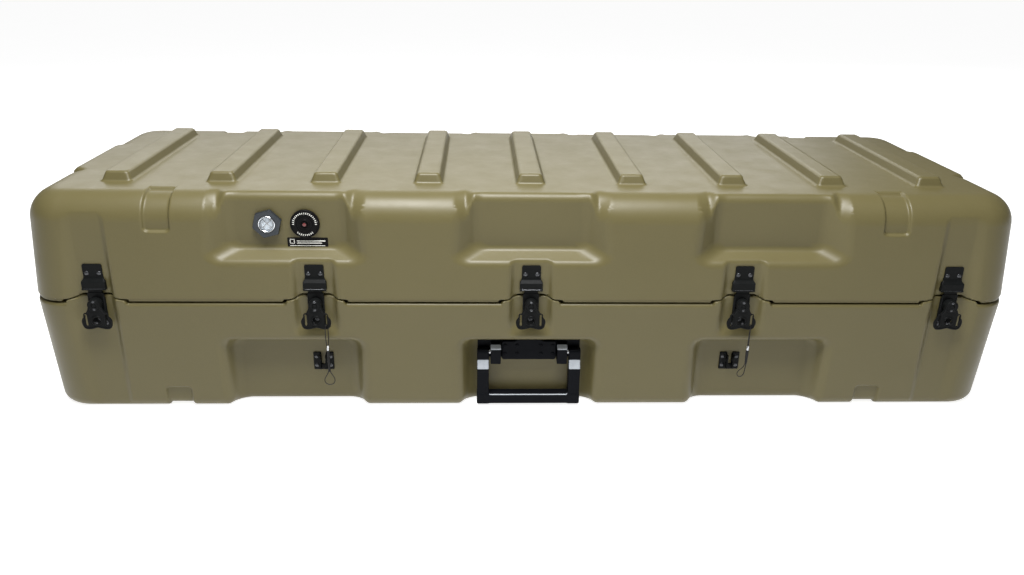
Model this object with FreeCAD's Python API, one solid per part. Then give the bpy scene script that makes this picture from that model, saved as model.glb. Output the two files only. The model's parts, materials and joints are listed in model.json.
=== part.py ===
"""Long hard equipment case with a hinged lid, five turn latches and three folding handles.

Units are millimetres.  X runs along the case, the latches face -Y, +Z is up, and the origin is
on the floor under the middle of the case.  Every separate piece is one STEP file in parts/.
"""
import FreeCAD, Part
import math
import os

V = FreeCAD.Vector

# ---------------------------------------------------------------- driving dimensions: shells
HALF_LENGTH = 800.0          # at the parting line
HALF_WIDTH = 270.0
BASE_TOP = 192.5             # rim of the base
LID_BOTTOM = 195.0           # rim of the lid
LID_TOP = 367.0              # flat top between the ribs
BASE_LEAN = 8.0              # how far each base wall leans in on its way to the floor
LID_LEAN = 10.0              # the same for the lid, on its way to the top
CORNER_R = 60.0              # corners seen from above
BASE_EDGE_R = 20.0
LID_EDGE_R = 44.0
WALL = 6.0
RIM_DEPTH = 28.5             # how far the rims reach inwards
RIM_HEIGHT = 12.0
RIM_SLOPE = 20.0

RIB_STEP = 166.5
RIB_SIDE_COUNT = 4           # ribs each side of the middle one
RIB_HEIGHT = 16.0
RIB_TOP = (18.0, 174.0)      # half width and half length of a rib's flat top
RIB_FOOT = (24.0, 181.0)
GROOVE_GAP = 2.0             # play round a rib of the case below

POCKET_STEP = 387.0          # between neighbouring pockets
POCKET_DEPTH = 32.0
LID_POCKET_HALF = (115.0, 91.0)      # at the wall and at the pocket's floor
LID_POCKET_SILL = (259.0, 276.0)
BASE_POCKET_HALF = (113.0, 98.0)
BASE_POCKET_HEAD = (126.0, 123.0)
END_POCKET_HALF = (106.0, 95.0)
LID_END_DEPTH = 24.0

LATCH_STEP = 345.0
CHANNEL_DEPTH = 10.0
CHANNEL_HALF = (35.0, 29.0)
LID_CHANNEL_HEAD = (272.0, 266.0)
BASE_CHANNEL_FOOT = (135.0, 148.0)
OUTER_CHANNEL_WALL = (660.0, 736.0)
OUTER_CHANNEL_FLOOR = (664.0, 712.0)
OUTER_CHANNEL_HEAD = (353.0, 343.0)
HINGE_CHANNEL_HALF = (42.0, 36.0)

TAB_PROFILE = [(48.5, 0.0), (45.5, 4.4), (34.0, 6.3), (22.4, 11.0)]   # half width, rise over the rim
TAB_GAP = 1.4
TAB_THICKNESS = 6.0

STRAP_X = 582.0
STRAP_HALF = 20.0
STRAP_DEPTH = 3.5
LID_STRAP_FOOT = 310.0
BASE_STRAP_HEAD = 38.0
STRAP_REACH = 60.0           # how far the strap grooves run in over the top and the floor

GASKET_INSET = (20.5, 24.5)
GASKET_FLOOR = 189.5
GASKET_TOP = 194.6

# ---------------------------------------------------------------- driving dimensions: latches
HUB_Z = 191.5
CHANNEL_Y = -(HALF_WIDTH - CHANNEL_DEPTH)
PLATE_T = 2.0
POST_R = 4.0
POST_BORE_R = 4.08
POST_END_Y = -277.2
LINK_Y = (-265.0, -262.6)
LINK_HALF = 13.0
LINK_Z = (174.0, 209.0)
LINK_TRAVEL = 9.0
LINK_SLOT_R = 4.5
TONGUE_HALF = 11.0
TONGUE_Y = (-264.6, -262.6)
TONGUE_TOP = 216.0
KEEPER_HALF = 15.2
KEEPER_TOP = 255.8
KEEPER_EAR_HALF = 18.4
KEEPER_EAR_Z = (213.6, 229.0)
KEEPER_FRONT_Y = -267.6
KEEPER_ROLL_R = 1.7
KEEPER_ROLL_Y = -267.0
KEEPER_RIVET = (9.6, 240.5)
WING_Y = (-275.2, -273.2)
WING_HUB_Y = (-277.0, -265.6)
WING_HUB_R = 9.0
WING_SIDE = [(9.4, 1.5), (12.0, -8.0), (17.5, -17.0), (23.0, -25.0), (23.6, -32.0), (20.5, -39.5)]
WING_FOOT = [(13.0, -41.6), (0.0, -38.6)]
WING_HOLE = (-26.8, 6.0)
WING_SLOT_X = 16.0
WING_SLOT_Z = (-35.1, -15.5)        # the slots' round ends
WING_SLOT_HALF = 1.6
CAM_RIVET_Z = 6.5
CAM_RIVET_R = 1.8
RIVET_R = 1.98               # 5/32 in rivets
RIVET_HEAD_R = 3.6
RIVET_HEAD_H = 1.6

# ---------------------------------------------------------------- driving dimensions: handles
POCKET_FLOOR_V = POCKET_DEPTH        # distance of a pocket's floor behind the wall's rim plane
HANDLE_HALF = 86.6
HANDLE_ARM_IN = 67.0
HANDLE_PLATE_HALF = 86.0
HANDLE_PLATE_Z = (84.0, 119.0)
HANDLE_PLATE_T = 2.5
HANDLE_BAR_HALF = 45.5
HANDLE_BAR_Z = (86.0, 117.0)
HANDLE_BAR_T = 9.5
HANDLE_BLOCK_X = (47.0, 64.0)
HANDLE_BLOCK_Z = (78.0, 105.0, 112.6)
HANDLE_BLOCK_FRONT = 13.0
HANDLE_BLOCK_BACK = 24.0
HANDLE_AXIS = (22.0, 97.0)           # distance behind the rim plane, height
HANDLE_PIN_R = 4.0
HANDLE_PIN_BORE_R = 4.08
HANDLE_EYE_R = 7.0
HANDLE_RAMP_Z = (70.0, 85.0)
HANDLE_FRONT = 9.0
HANDLE_BACK = 29.0
GRIP_Z = (5.0, 23.0)

# ---------------------------------------------------------------- driving dimensions: small parts
BRACKET_X = 344.0
BRACKET_HALF = 16.8
BRACKET_Z = (60.0, 92.0)
BRACKET_FIN_X = 4.0
BRACKET_FIN_T = 2.0
BRACKET_FIN_OUT = 11.0
BRACKET_HOLE_R = 3.5
BRACKET_RIVETS = [(-11.5, 68.0), (-11.5, 84.0), (11.5, 68.0), (11.5, 84.0)]

PORT_Z = 317.0
VALVE_X = -358.0
PLUG_X = -417.0
PORT_TUBE_R = 11.0
PORT_HOLE_R = 11.2
PORT_TUBE_END = 8.0                  # how far the port tubes reach inside the wall
PORT_NUT_FLATS = 30.0
PORT_NUT_T = 6.0
VALVE_R = 23.0
VALVE_T = 6.0
BUTTON_R = 4.2
BUTTON_BORE_R = 4.28
BUTTON_OUT = 2.6
BUTTON_DEEP = 7.0
BUTTON_TRAVEL = 2.5
PLUG_CORNERS = 47.4
PLUG_T = 7.0
PLUG_SEAT_R = 13.5
PLUG_SEAT_DEEP = 4.5
CARD_T = 0.8
WINDOW_T = 1.5
BEZEL_IN_R = 11.2
BEZEL_OUT = 1.0
LABEL_X = -356.0
LABEL_Z = 285.0
LABEL_HALF = (32.0, 8.4)
LABEL_T = 0.8

HINGE_X = [-690.0, 0.0, 690.0]
HINGE_AXIS = (271.5, 193.75)
HINGE_R = 5.0
HINGE_PIN_R = 2.5
HINGE_BORE_R = 2.55
HINGE_LEAF_HALF = 30.0
HINGE_LEAF_H = 36.0
HINGE_LEAF_T = 2.5
HINGE_KNUCKLE = 9.5
HINGE_KNUCKLE_GAP = 0.5
HINGE_BARREL_HALF = 28.0

WIRE_R = 0.7
WIRE_X = 16.0                        # beside the latch's middle
FERRULE_R = 2.1
FERRULE_Z = (113.0, 121.0)
SLEEVE_R = 2.4
LEFT_SLEEVE_FOOT = 74.0
RIGHT_SLEEVE_FOOT = 87.0
WIRE_LOOP = [                        # depth and height of the loop through the latch's wing
    (-276.5, 113.6), (-276.9, 121.0), (-278.4, 130.5), (-279.5, 141.0), (-279.7, 150.0),
    (-279.0, 157.2), (-275.6, 159.6), (-272.2, 157.2), (-271.7, 150.0), (-271.9, 141.0),
    (-272.9, 130.5), (-274.3, 121.0), (-274.8, 111.0)]
LEFT_TAIL = [                        # sideways, depth and height below the ferrule
    (-0.2, -275.3, 101.0), (-0.6, -275.7, 90.0), (-0.9, -275.6, 80.0), (-1.8, -275.5, 72.0),
    (-6.0, -275.6, 65.5), (-9.2, -275.8, 58.5), (-6.5, -276.0, 51.8), (0.6, -276.1, 49.8),
    (7.4, -276.0, 53.0), (8.6, -275.8, 60.0), (5.4, -275.6, 66.8), (1.6, -275.5, 72.4),
    (0.9, -275.6, 79.0)]
RIGHT_TAIL = [
    (0.2, -275.3, 103.0), (-0.5, -275.7, 95.0), (-1.0, -275.6, 88.0), (-3.6, -275.5, 81.0),
    (-9.6, -275.6, 76.5), (-13.0, -275.8, 70.5), (-11.8, -276.0, 65.0), (-6.0, -276.1, 63.8),
    (-1.6, -276.0, 68.0), (-0.6, -275.8, 75.5), (0.2, -275.6, 82.5), (0.8, -275.6, 89.5)]

WALLS = {"front": (HALF_WIDTH, 0.0), "rear": (HALF_WIDTH, 180.0),
         "left": (HALF_LENGTH, -90.0), "right": (HALF_LENGTH, 90.0)}
LATCH_X = [LATCH_STEP * i for i in range(-2, 3)]
CLEAR = 40.0                         # how far cutters reach past the surfaces they cut
Y_AXIS = V(0, 1, 0)
X_AXIS = V(1, 0, 0)


# ---------------------------------------------------------------- general shapes
def box(x, y, z):
    """Box between two limits on each axis."""
    return Part.makeBox(x[1] - x[0], y[1] - y[0], z[1] - z[0], V(x[0], y[0], z[0]))


def rod(centre, direction, radius, length):
    return Part.makeCylinder(radius, length, centre, direction)


def prism(points, direction):
    """Solid swept along direction from a closed outline of 3-D points."""
    return Part.Face(Part.makePolygon(points + points[:1])).extrude(direction)


def rectangle(half_x, half_y, z):
    corners = [(-1, -1), (1, -1), (1, 1), (-1, 1), (-1, -1)]
    return Part.makePolygon([V(half_x * a, half_y * b, z) for a, b in corners])


def frustum(low, high):
    """Four-sided solid between two centred rectangles, each (half_x, half_y, z)."""
    return Part.makeLoft([rectangle(*low), rectangle(*high)], True, True)


def edges_between(solid, z_low, z_high):
    """Edges whose two ends are at the two heights, in either order."""
    found = []
    for edge in solid.Edges:
        ends = sorted(vertex.Point.z for vertex in edge.Vertexes)
        if abs(ends[0] - z_low) < 0.01 and abs(ends[-1] - z_high) < 0.01:
            found.append(edge)
    return found


def rounded_frustum(low, high, corner_r, edge_z, edge_r):
    """Frustum with round upright corners and one round rim at height edge_z."""
    solid = frustum(low, high)
    solid = solid.makeFillet(corner_r, edges_between(solid, low[2], high[2]))
    return solid.makeFillet(edge_r, edges_between(solid, edge_z, edge_z))


def rounded_plate(half_x, half_y, z_low, z_high, radius):
    solid = frustum((half_x, half_y, z_low), (half_x, half_y, z_high))
    return solid.makeFillet(radius, edges_between(solid, z_low, z_high))


def on_wall(shape, wall):
    """Move a shape drawn behind the plane Y = 0 to one of the four walls."""
    distance, angle = WALLS[wall]
    moved = shape.translated(V(0, -distance, 0))
    return moved.rotated(V(0, 0, 0), V(0, 0, 1), angle)


def rivet(x, y, z, depth):
    """Domed rivet whose head faces -Y on the plane y, its shank depth long."""
    shank = rod(V(x, y, z), Y_AXIS, RIVET_R, depth)
    sphere_r = (RIVET_HEAD_R ** 2 + RIVET_HEAD_H ** 2) / (2 * RIVET_HEAD_H)
    ball = Part.makeSphere(sphere_r, V(x, y + sphere_r - RIVET_HEAD_H, z))
    side = 2 * RIVET_HEAD_R
    dome = ball.common(box((x - side, x + side), (y - side, y), (z - side, z + side)))
    return shank.fuse(dome)


def rivet_hole(x, y, z, depth):
    return rod(V(x, y, z), Y_AXIS, RIVET_R, depth)


def tube_along(points, radius):
    """Tube along straight runs joined by the largest arcs that the runs allow."""
    edges = []
    radii = []
    start = points[0]
    for before, corner, after in zip(points, points[1:], points[2:]):
        into = (corner - before).normalize()
        out = (after - corner).normalize()
        half_turn = into.getAngle(out) / 2
        cut = 0.45 * min((corner - before).Length, (after - corner).Length)
        radii.append(cut / math.tan(half_turn))
        first = corner - into * cut
        last = corner + out * cut
        inward = (out - into).normalize()
        middle = corner + inward * (radii[-1] / math.cos(half_turn) - radii[-1])
        edges.append(Part.LineSegment(start, first).toShape())
        edges.append(Part.Arc(first, middle, last).toShape())
        start = last
    edges.append(Part.LineSegment(start, points[-1]).toShape())
    path = Part.Wire(edges)
    ring = Part.Wire(Part.makeCircle(radius, points[0], points[1] - points[0]))
    tube = path.makePipeShell([ring], True, False)
    expected = math.pi * radius ** 2 * path.Length
    print("wire length %.1f, volume %.3f of expected, radii %s" % (
        path.Length, tube.Volume / expected, [round(r, 1) for r in radii]))
    return tube


# ---------------------------------------------------------------- recesses of the shells
def recess(u_wall, u_floor, z_wall, z_floor, depth, grow=0.0):
    """Tapered recess behind the plane Y = 0, or what its walls keep clear when grow is a wall."""
    reach = CLEAR
    def at(wall, floor, v):
        return wall + (floor - wall) * v / depth
    outlines = []
    for v in (-reach, depth + grow):
        u0 = at(u_wall[0], u_floor[0], v) - grow * 1.2
        u1 = at(u_wall[1], u_floor[1], v) + grow * 1.2
        z0 = at(z_wall[0], z_floor[0], v) - grow * 1.2
        z1 = at(z_wall[1], z_floor[1], v) + grow * 1.2
        outlines.append(Part.makePolygon(
            [V(u0, v, z0), V(u1, v, z0), V(u1, v, z1), V(u0, v, z1), V(u0, v, z0)]))
    return Part.makeLoft(outlines, True, True)


def spread(half, centre):
    return (centre - half, centre + half)


def lid_recesses(grow=0.0):
    over = LID_TOP + CLEAR
    under = LID_BOTTOM - CLEAR
    made = []
    for wall in ("front", "rear"):
        for i in (-1, 0, 1):
            x = POCKET_STEP * i
            made.append(on_wall(recess(
                spread(LID_POCKET_HALF[0], x), spread(LID_POCKET_HALF[1], x),
                (LID_POCKET_SILL[0], over), (LID_POCKET_SILL[1], over), POCKET_DEPTH, grow), wall))
    for side in (-1, 1):
        made.append(on_wall(recess(
            sorted(side * x for x in OUTER_CHANNEL_WALL),
            sorted(side * x for x in OUTER_CHANNEL_FLOOR),
            (under, OUTER_CHANNEL_HEAD[0]), (under, OUTER_CHANNEL_HEAD[1]),
            CHANNEL_DEPTH, grow), "front"))
    for x in (-LATCH_STEP, 0.0, LATCH_STEP):
        made.append(on_wall(recess(
            spread(CHANNEL_HALF[0], x), spread(CHANNEL_HALF[1], x),
            (under, LID_CHANNEL_HEAD[0]), (under, LID_CHANNEL_HEAD[1]),
            CHANNEL_DEPTH, grow), "front"))
    for x in HINGE_X:
        made.append(on_wall(recess(
            spread(HINGE_CHANNEL_HALF[0], x), spread(HINGE_CHANNEL_HALF[1], x),
            (under, LID_CHANNEL_HEAD[0]), (under, LID_CHANNEL_HEAD[1]), CHANNEL_DEPTH, grow), "rear"))
    for wall in ("left", "right"):
        made.append(on_wall(recess(
            spread(END_POCKET_HALF[0], 0.0), spread(END_POCKET_HALF[1], 0.0),
            (LID_POCKET_SILL[0], over), (LID_POCKET_SILL[1], over), LID_END_DEPTH, grow), wall))
    return made


def base_recesses(grow=0.0):
    over = BASE_TOP + CLEAR
    under = -CLEAR
    made = []
    for wall in ("front", "rear"):
        for i in (-1, 0, 1):
            x = POCKET_STEP * i
            made.append(on_wall(recess(
                spread(BASE_POCKET_HALF[0], x), spread(BASE_POCKET_HALF[1], x),
                (under, BASE_POCKET_HEAD[0]), (under, BASE_POCKET_HEAD[1]),
                POCKET_DEPTH, grow), wall))
    for side in (-1, 1):
        made.append(on_wall(recess(
            sorted(side * x for x in OUTER_CHANNEL_WALL),
            sorted(side * x for x in OUTER_CHANNEL_FLOOR),
            (under, over), (under, over), CHANNEL_DEPTH, grow), "front"))
    for x in (-LATCH_STEP, 0.0, LATCH_STEP):
        made.append(on_wall(recess(
            spread(CHANNEL_HALF[0], x), spread(CHANNEL_HALF[1], x),
            (BASE_CHANNEL_FOOT[0], over), (BASE_CHANNEL_FOOT[1], over),
            CHANNEL_DEPTH, grow), "front"))
    for x in HINGE_X:
        made.append(on_wall(recess(
            spread(HINGE_CHANNEL_HALF[0], x), spread(HINGE_CHANNEL_HALF[1], x),
            (BASE_CHANNEL_FOOT[0], over), (BASE_CHANNEL_FOOT[1], over), CHANNEL_DEPTH, grow), "rear"))
    for wall in ("left", "right"):
        made.append(on_wall(recess(
            spread(END_POCKET_HALF[0], 0.0), spread(END_POCKET_HALF[1], 0.0),
            (under, BASE_POCKET_HEAD[0]), (under, BASE_POCKET_HEAD[1]), POCKET_DEPTH, grow), wall))
    return made


# ---------------------------------------------------------------- ribs, grooves and straps
def rib_at(x, foot_z, grow):
    """One tapered rib on the plane foot_z, made larger all round by grow."""
    foot = (RIB_FOOT[0] + grow, RIB_FOOT[1] + grow)
    top = (RIB_TOP[0] + grow, RIB_TOP[1] + grow)
    return frustum((foot[0], foot[1], foot_z), (top[0], top[1], foot_z + RIB_HEIGHT + grow)
                   ).translated(V(x, 0, 0))


def ribs(foot_z, grow=0.0):
    count = RIB_SIDE_COUNT
    return [rib_at(RIB_STEP * i, foot_z, grow) for i in range(-count, count + 1)]


def strap_bands(z_range, depth_body):
    """Shallow grooves for straps: bands at four places, down to the skin of depth_body."""
    bands = []
    for side in (-1, 1):
        x = spread(STRAP_HALF, side * STRAP_X)
        for wall in (-1, 1):
            y = sorted((wall * (HALF_WIDTH + CLEAR), wall * (HALF_WIDTH - STRAP_REACH)))
            bands.append(box(x, y, z_range).cut(depth_body))
    return bands


# ---------------------------------------------------------------- the two shells
def base_body(inset, floor_z, top_z):
    """Outside of the base, or the same shape inset all round."""
    lean = BASE_LEAN / BASE_TOP
    def half(size, z):
        return size - lean * (BASE_TOP - z) - inset
    return rounded_frustum(
        (half(HALF_LENGTH, floor_z), half(HALF_WIDTH, floor_z), floor_z),
        (half(HALF_LENGTH, top_z), half(HALF_WIDTH, top_z), top_z),
        CORNER_R - inset, floor_z, BASE_EDGE_R - inset)


def lid_body(inset, bottom_z, top_z):
    lean = LID_LEAN / (LID_TOP - LID_BOTTOM)
    def half(size, z):
        return size - lean * (z - LID_BOTTOM) - inset
    return rounded_frustum(
        (half(HALF_LENGTH, bottom_z), half(HALF_WIDTH, bottom_z), bottom_z),
        (half(HALF_LENGTH, top_z), half(HALF_WIDTH, top_z), top_z),
        CORNER_R - inset, top_z, LID_EDGE_R - inset)


def rim_opening(rim_z, inward):
    """Opening through a rim, widening to the cavity; inward is -1 for the base, 1 for the lid."""
    hole = (HALF_LENGTH - RIM_DEPTH, HALF_WIDTH - RIM_DEPTH)
    neck_z = rim_z + inward * RIM_HEIGHT
    wide_z = neck_z + inward * RIM_SLOPE
    wide = (HALF_LENGTH - 2 * WALL, HALF_WIDTH - 2 * WALL)
    neck = rounded_plate(hole[0], hole[1], *sorted((rim_z - inward, neck_z)), CORNER_R / 2)
    levels = sorted(((hole[0], hole[1], neck_z), (wide[0], wide[1], wide_z)), key=lambda p: p[2])
    slope = frustum(*levels)
    slope = slope.makeFillet(CORNER_R / 2, edges_between(slope, levels[0][2], levels[1][2]))
    return neck, slope


def tab_outline(x, gap, below):
    """Closed outline of a raised tab on the base's rim, as points on the plane Y = 0."""
    right = [V(x + u + gap, 0, BASE_TOP + rise + gap) for u, rise in TAB_PROFILE]
    left = [V(x - u - gap, 0, BASE_TOP + rise + gap) for u, rise in reversed(TAB_PROFILE)]
    foot = [V(left[-1].x, 0, BASE_TOP - below), V(right[0].x, 0, BASE_TOP - below)]
    return right + left + foot


def make_base_shell():
    outer = base_body(0.0, 0.0, BASE_TOP)
    tab_back = CHANNEL_Y + TAB_THICKNESS
    tabs = []
    for x in LATCH_X:
        outline = tab_outline(x, 0.0, 5.0)
        tabs.append(prism(outline, V(0, HALF_WIDTH + tab_back, 0)).translated(V(0, -HALF_WIDTH, 0)))
    outer = outer.fuse(tabs)
    skin = base_body(STRAP_DEPTH, STRAP_DEPTH, BASE_TOP + CLEAR)
    straps = strap_bands((-CLEAR, BASE_STRAP_HEAD), skin)
    outer = outer.cut(base_recesses() + straps + ribs(-0.01, GROOVE_GAP))
    cavity = base_body(WALL, WALL, BASE_TOP - RIM_HEIGHT - RIM_SLOPE)
    neck, slope = rim_opening(BASE_TOP, -1)
    cavity = cavity.fuse([slope])
    cavity = cavity.cut(base_recesses(WALL) + ribs(0.0, GROOVE_GAP + WALL))
    slot = gasket_ring(GASKET_FLOOR, BASE_TOP + 1.0)
    return outer.cut([cavity, neck, slot] + base_holes())


def make_lid_shell():
    outer = lid_body(0.0, LID_BOTTOM, LID_TOP).fuse(ribs(LID_TOP - 0.01))
    skin = lid_body(STRAP_DEPTH, LID_BOTTOM - CLEAR, LID_TOP - STRAP_DEPTH)
    straps = strap_bands((LID_STRAP_FOOT, LID_TOP + CLEAR), skin)
    outer = outer.cut(lid_recesses() + straps)
    cavity = lid_body(WALL, LID_BOTTOM + RIM_HEIGHT + RIM_SLOPE, LID_TOP - WALL)
    neck, slope = rim_opening(LID_BOTTOM, 1)
    hollow_ribs = ribs(LID_TOP - WALL - 0.01, -WALL)
    cavity = cavity.fuse([slope] + hollow_ribs).cut(lid_recesses(WALL))
    notches = []
    back = CHANNEL_Y + TAB_THICKNESS + TAB_GAP / 2
    for x in LATCH_X:
        outline = tab_outline(x, TAB_GAP, 5.0)
        notches.append(prism(outline, V(0, HALF_WIDTH + CLEAR + back, 0)
                             ).translated(V(0, -HALF_WIDTH - CLEAR, 0)))
    return outer.cut([cavity, neck] + notches + lid_holes())


def gasket_ring(z_low, z_high):
    outer = rounded_plate(HALF_LENGTH - GASKET_INSET[0], HALF_WIDTH - GASKET_INSET[0],
                          z_low, z_high, CORNER_R - GASKET_INSET[0])
    inner = rounded_plate(HALF_LENGTH - GASKET_INSET[1], HALF_WIDTH - GASKET_INSET[1],
                          z_low - 1.0, z_high + 1.0, CORNER_R - GASKET_INSET[1])
    return outer.cut(inner)


# ---------------------------------------------------------------- rivet places
def latch_plate_rivet_places():
    spots = [(0.0, HUB_Z - 28.5), (-8.5, HUB_Z - 36.0), (8.5, HUB_Z - 36.0)]
    return [(x + u, z) for x in LATCH_X for u, z in spots]


def keeper_rivet_places():
    return [(x + side * KEEPER_RIVET[0], KEEPER_RIVET[1]) for x in LATCH_X for side in (-1, 1)]


def handle_rivet_places():
    return [(side * x, z) for side in (-1, 1) for x in (20.0, 40.0) for z in (94.0, 109.0)]


def hinge_rivet_places(z_near):
    """Rivet places on one hinge leaf, as (x, z) with the leaf's near edge at z_near."""
    step = 1 if z_near > HINGE_AXIS[1] else -1
    return [(x + side * 18.0, z_near + step * d) for x in HINGE_X for side in (-1, 1)
            for d in (12.0, 28.0)]


def bracket_rivet_places():
    return [(side * BRACKET_X + u, z) for side in (-1, 1) for u, z in BRACKET_RIVETS]


HINGE_BASE_Z = HINGE_AXIS[1] - 7.0
HINGE_LID_Z = HINGE_AXIS[1] + 7.0
FRONT_POCKET_Y = -(HALF_WIDTH - POCKET_DEPTH)
SHANK = WALL + PLATE_T


def base_holes():
    holes = [rivet_hole(x, CHANNEL_Y - 0.1, z, WALL + 1.0) for x, z in latch_plate_rivet_places()]
    holes += [rivet_hole(x, FRONT_POCKET_Y - 0.1, z, WALL + 1.0)
              for x, z in bracket_rivet_places()]
    for wall in ("front", "left", "right"):
        holes += [on_wall(rivet_hole(x, POCKET_FLOOR_V - 0.1, z, WALL + 1.0), wall)
                  for x, z in handle_rivet_places()]
    holes += [on_wall(rivet_hole(x, CHANNEL_DEPTH - 0.1, z, WALL + 1.0), "rear")
              for x, z in hinge_rivet_places(HINGE_BASE_Z)]
    return holes


def lid_holes():
    holes = [rivet_hole(x, CHANNEL_Y - 0.1, z, WALL + 1.0) for x, z in keeper_rivet_places()]
    holes += [on_wall(rivet_hole(x, CHANNEL_DEPTH - 0.1, z, WALL + 1.0), "rear")
              for x, z in hinge_rivet_places(HINGE_LID_Z)]
    holes += [rod(V(x, FRONT_POCKET_Y - 1, PORT_Z), Y_AXIS, PORT_HOLE_R, WALL + 2)
              for x in (VALVE_X, PLUG_X)]
    return holes


# ---------------------------------------------------------------- latches
def make_latch_plate(x):
    plate = box((x - LINK_HALF, x + LINK_HALF), (CHANNEL_Y - PLATE_T, CHANNEL_Y),
                (HUB_Z - 41.0, HUB_Z + 11.5))
    corners = [e for e in plate.Edges if abs(e.Vertexes[0].Point.y - e.Vertexes[1].Point.y) > 1]
    plate = plate.makeFillet(3.0, corners)
    post = rod(V(x, POST_END_Y, HUB_Z), Y_AXIS, POST_R, -POST_END_Y + CHANNEL_Y)
    holes = [rivet_hole(px, CHANNEL_Y - 5, pz, 9) for px, pz in latch_plate_rivet_places()]
    return plate.fuse(post).cut(holes)


def make_latch_link(x):
    body = box((x - LINK_HALF, x + LINK_HALF), LINK_Y, LINK_Z)
    corners = [e for e in body.Edges if abs(e.Vertexes[0].Point.y - e.Vertexes[1].Point.y) > 1]
    body = body.makeFillet(2.0, corners)
    tongue = box((x - TONGUE_HALF, x + TONGUE_HALF), TONGUE_Y, (LINK_Z[1] - 4.0, TONGUE_TOP))
    slot = box((x - LINK_SLOT_R, x + LINK_SLOT_R), (LINK_Y[0] - 1, LINK_Y[1] + 1),
               (HUB_Z - LINK_TRAVEL, HUB_Z))
    ends = [rod(V(x, LINK_Y[0] - 1, z), Y_AXIS, LINK_SLOT_R, 5.0)
            for z in (HUB_Z - LINK_TRAVEL, HUB_Z)]
    return body.fuse(tongue).cut([slot] + ends)


def make_keeper(x):
    plate = box((x - KEEPER_HALF, x + KEEPER_HALF), (CHANNEL_Y - PLATE_T, CHANNEL_Y),
                (KEEPER_EAR_Z[1] - 2.0, KEEPER_TOP))
    top = [e for e in plate.Edges if abs(e.Vertexes[0].Point.y - e.Vertexes[1].Point.y) > 1
           and e.Vertexes[0].Point.z > KEEPER_TOP - 1]
    plate = plate.makeFillet(3.0, top)
    ears = box((x - KEEPER_EAR_HALF, x + KEEPER_EAR_HALF), (KEEPER_FRONT_Y, CHANNEL_Y), KEEPER_EAR_Z)
    mouth = box((x - KEEPER_EAR_HALF + PLATE_T, x + KEEPER_EAR_HALF - PLATE_T),
                (KEEPER_FRONT_Y + PLATE_T, CHANNEL_Y + 1), (KEEPER_EAR_Z[0] - 3, KEEPER_EAR_Z[1] - 2))
    roll = rod(V(x - KEEPER_EAR_HALF, KEEPER_ROLL_Y, KEEPER_EAR_Z[0] + KEEPER_ROLL_R), X_AXIS,
               KEEPER_ROLL_R, 2 * KEEPER_EAR_HALF)
    holes = [rivet_hole(px, CHANNEL_Y - 5, pz, 9) for px, pz in keeper_rivet_places()]
    return plate.fuse([ears.cut(mouth), roll]).cut(holes)


def wing_outline(x):
    """Closed outline of a latch's wing on the plane of its front face."""
    def at(u, w):
        return V(x + u, WING_Y[0], HUB_Z + w)
    side = [at(u, w) for u, w in WING_SIDE]
    foot = [at(u, w) for u, w in WING_FOOT]
    right = Part.BSplineCurve()
    right.interpolate(side + foot)
    mirrored = [at(-u, w) for u, w in WING_SIDE + WING_FOOT]
    left = Part.BSplineCurve()
    left.interpolate(list(reversed(mirrored)))
    crown = Part.Arc(mirrored[0], at(0, WING_HUB_R + 0.4), side[0])
    return Part.Wire([right.toShape(), left.toShape(), crown.toShape()])


def make_latch_wing(x):
    plate = Part.Face(wing_outline(x)).extrude(V(0, WING_Y[1] - WING_Y[0], 0))
    hub = rod(V(x, WING_HUB_Y[0], HUB_Z), Y_AXIS, WING_HUB_R, WING_HUB_Y[1] - WING_HUB_Y[0])
    cams = [rod(V(x, WING_HUB_Y[0] - 1.0, HUB_Z + s * CAM_RIVET_Z), Y_AXIS, CAM_RIVET_R, 2.0)
            for s in (-1, 1)]
    cuts = [rod(V(x, POST_END_Y - 5, HUB_Z), Y_AXIS, POST_BORE_R, CLEAR),
            rod(V(x, WING_Y[0] - 1, HUB_Z + WING_HOLE[0]), Y_AXIS, WING_HOLE[1], 5.0)]
    for side in (-1, 1):
        u = x + side * WING_SLOT_X
        ends = (HUB_Z + WING_SLOT_Z[0] + WING_SLOT_HALF, HUB_Z + WING_SLOT_Z[1] - WING_SLOT_HALF)
        cuts.append(box((u - WING_SLOT_HALF, u + WING_SLOT_HALF), (WING_Y[0] - 1, WING_Y[1] + 1), ends))
        cuts += [rod(V(u, WING_Y[0] - 1, z), Y_AXIS, WING_SLOT_HALF, WING_Y[1] - WING_Y[0] + 2)
                 for z in ends]
    return plate.fuse([hub] + cams).cut(cuts)


# ---------------------------------------------------------------- handles
def handle_local_plate():
    """Riveted plate with the grip's rest bar and two hinge blocks, behind the plane Y = 0."""
    back = POCKET_FLOOR_V
    plate = box((-HANDLE_PLATE_HALF, HANDLE_PLATE_HALF), (back - HANDLE_PLATE_T, back),
                HANDLE_PLATE_Z)
    bar = box((-HANDLE_BAR_HALF, HANDLE_BAR_HALF), (back - HANDLE_PLATE_T - HANDLE_BAR_T, back),
              HANDLE_BAR_Z)
    pieces = [bar]
    z_low, z_front, z_back = HANDLE_BLOCK_Z
    for side in (-1, 1):
        x = sorted(side * u for u in HANDLE_BLOCK_X)
        outline = [V(x[0], back, z_low), V(x[0], HANDLE_BLOCK_FRONT, z_low),
                   V(x[0], HANDLE_BLOCK_FRONT, z_front), V(x[0], HANDLE_BLOCK_BACK, z_back),
                   V(x[0], back, z_back)]
        pieces.append(prism(outline, V(x[1] - x[0], 0, 0)))
    cuts = [handle_local_pin(side, 0.0) for side in (-1, 1)]
    front = back - HANDLE_PLATE_T - HANDLE_BAR_T
    cuts += [rivet_hole(x, front - 5, z, back - front + 6) for x, z in handle_rivet_places()]
    return plate.fuse(pieces).cut(cuts)


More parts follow.
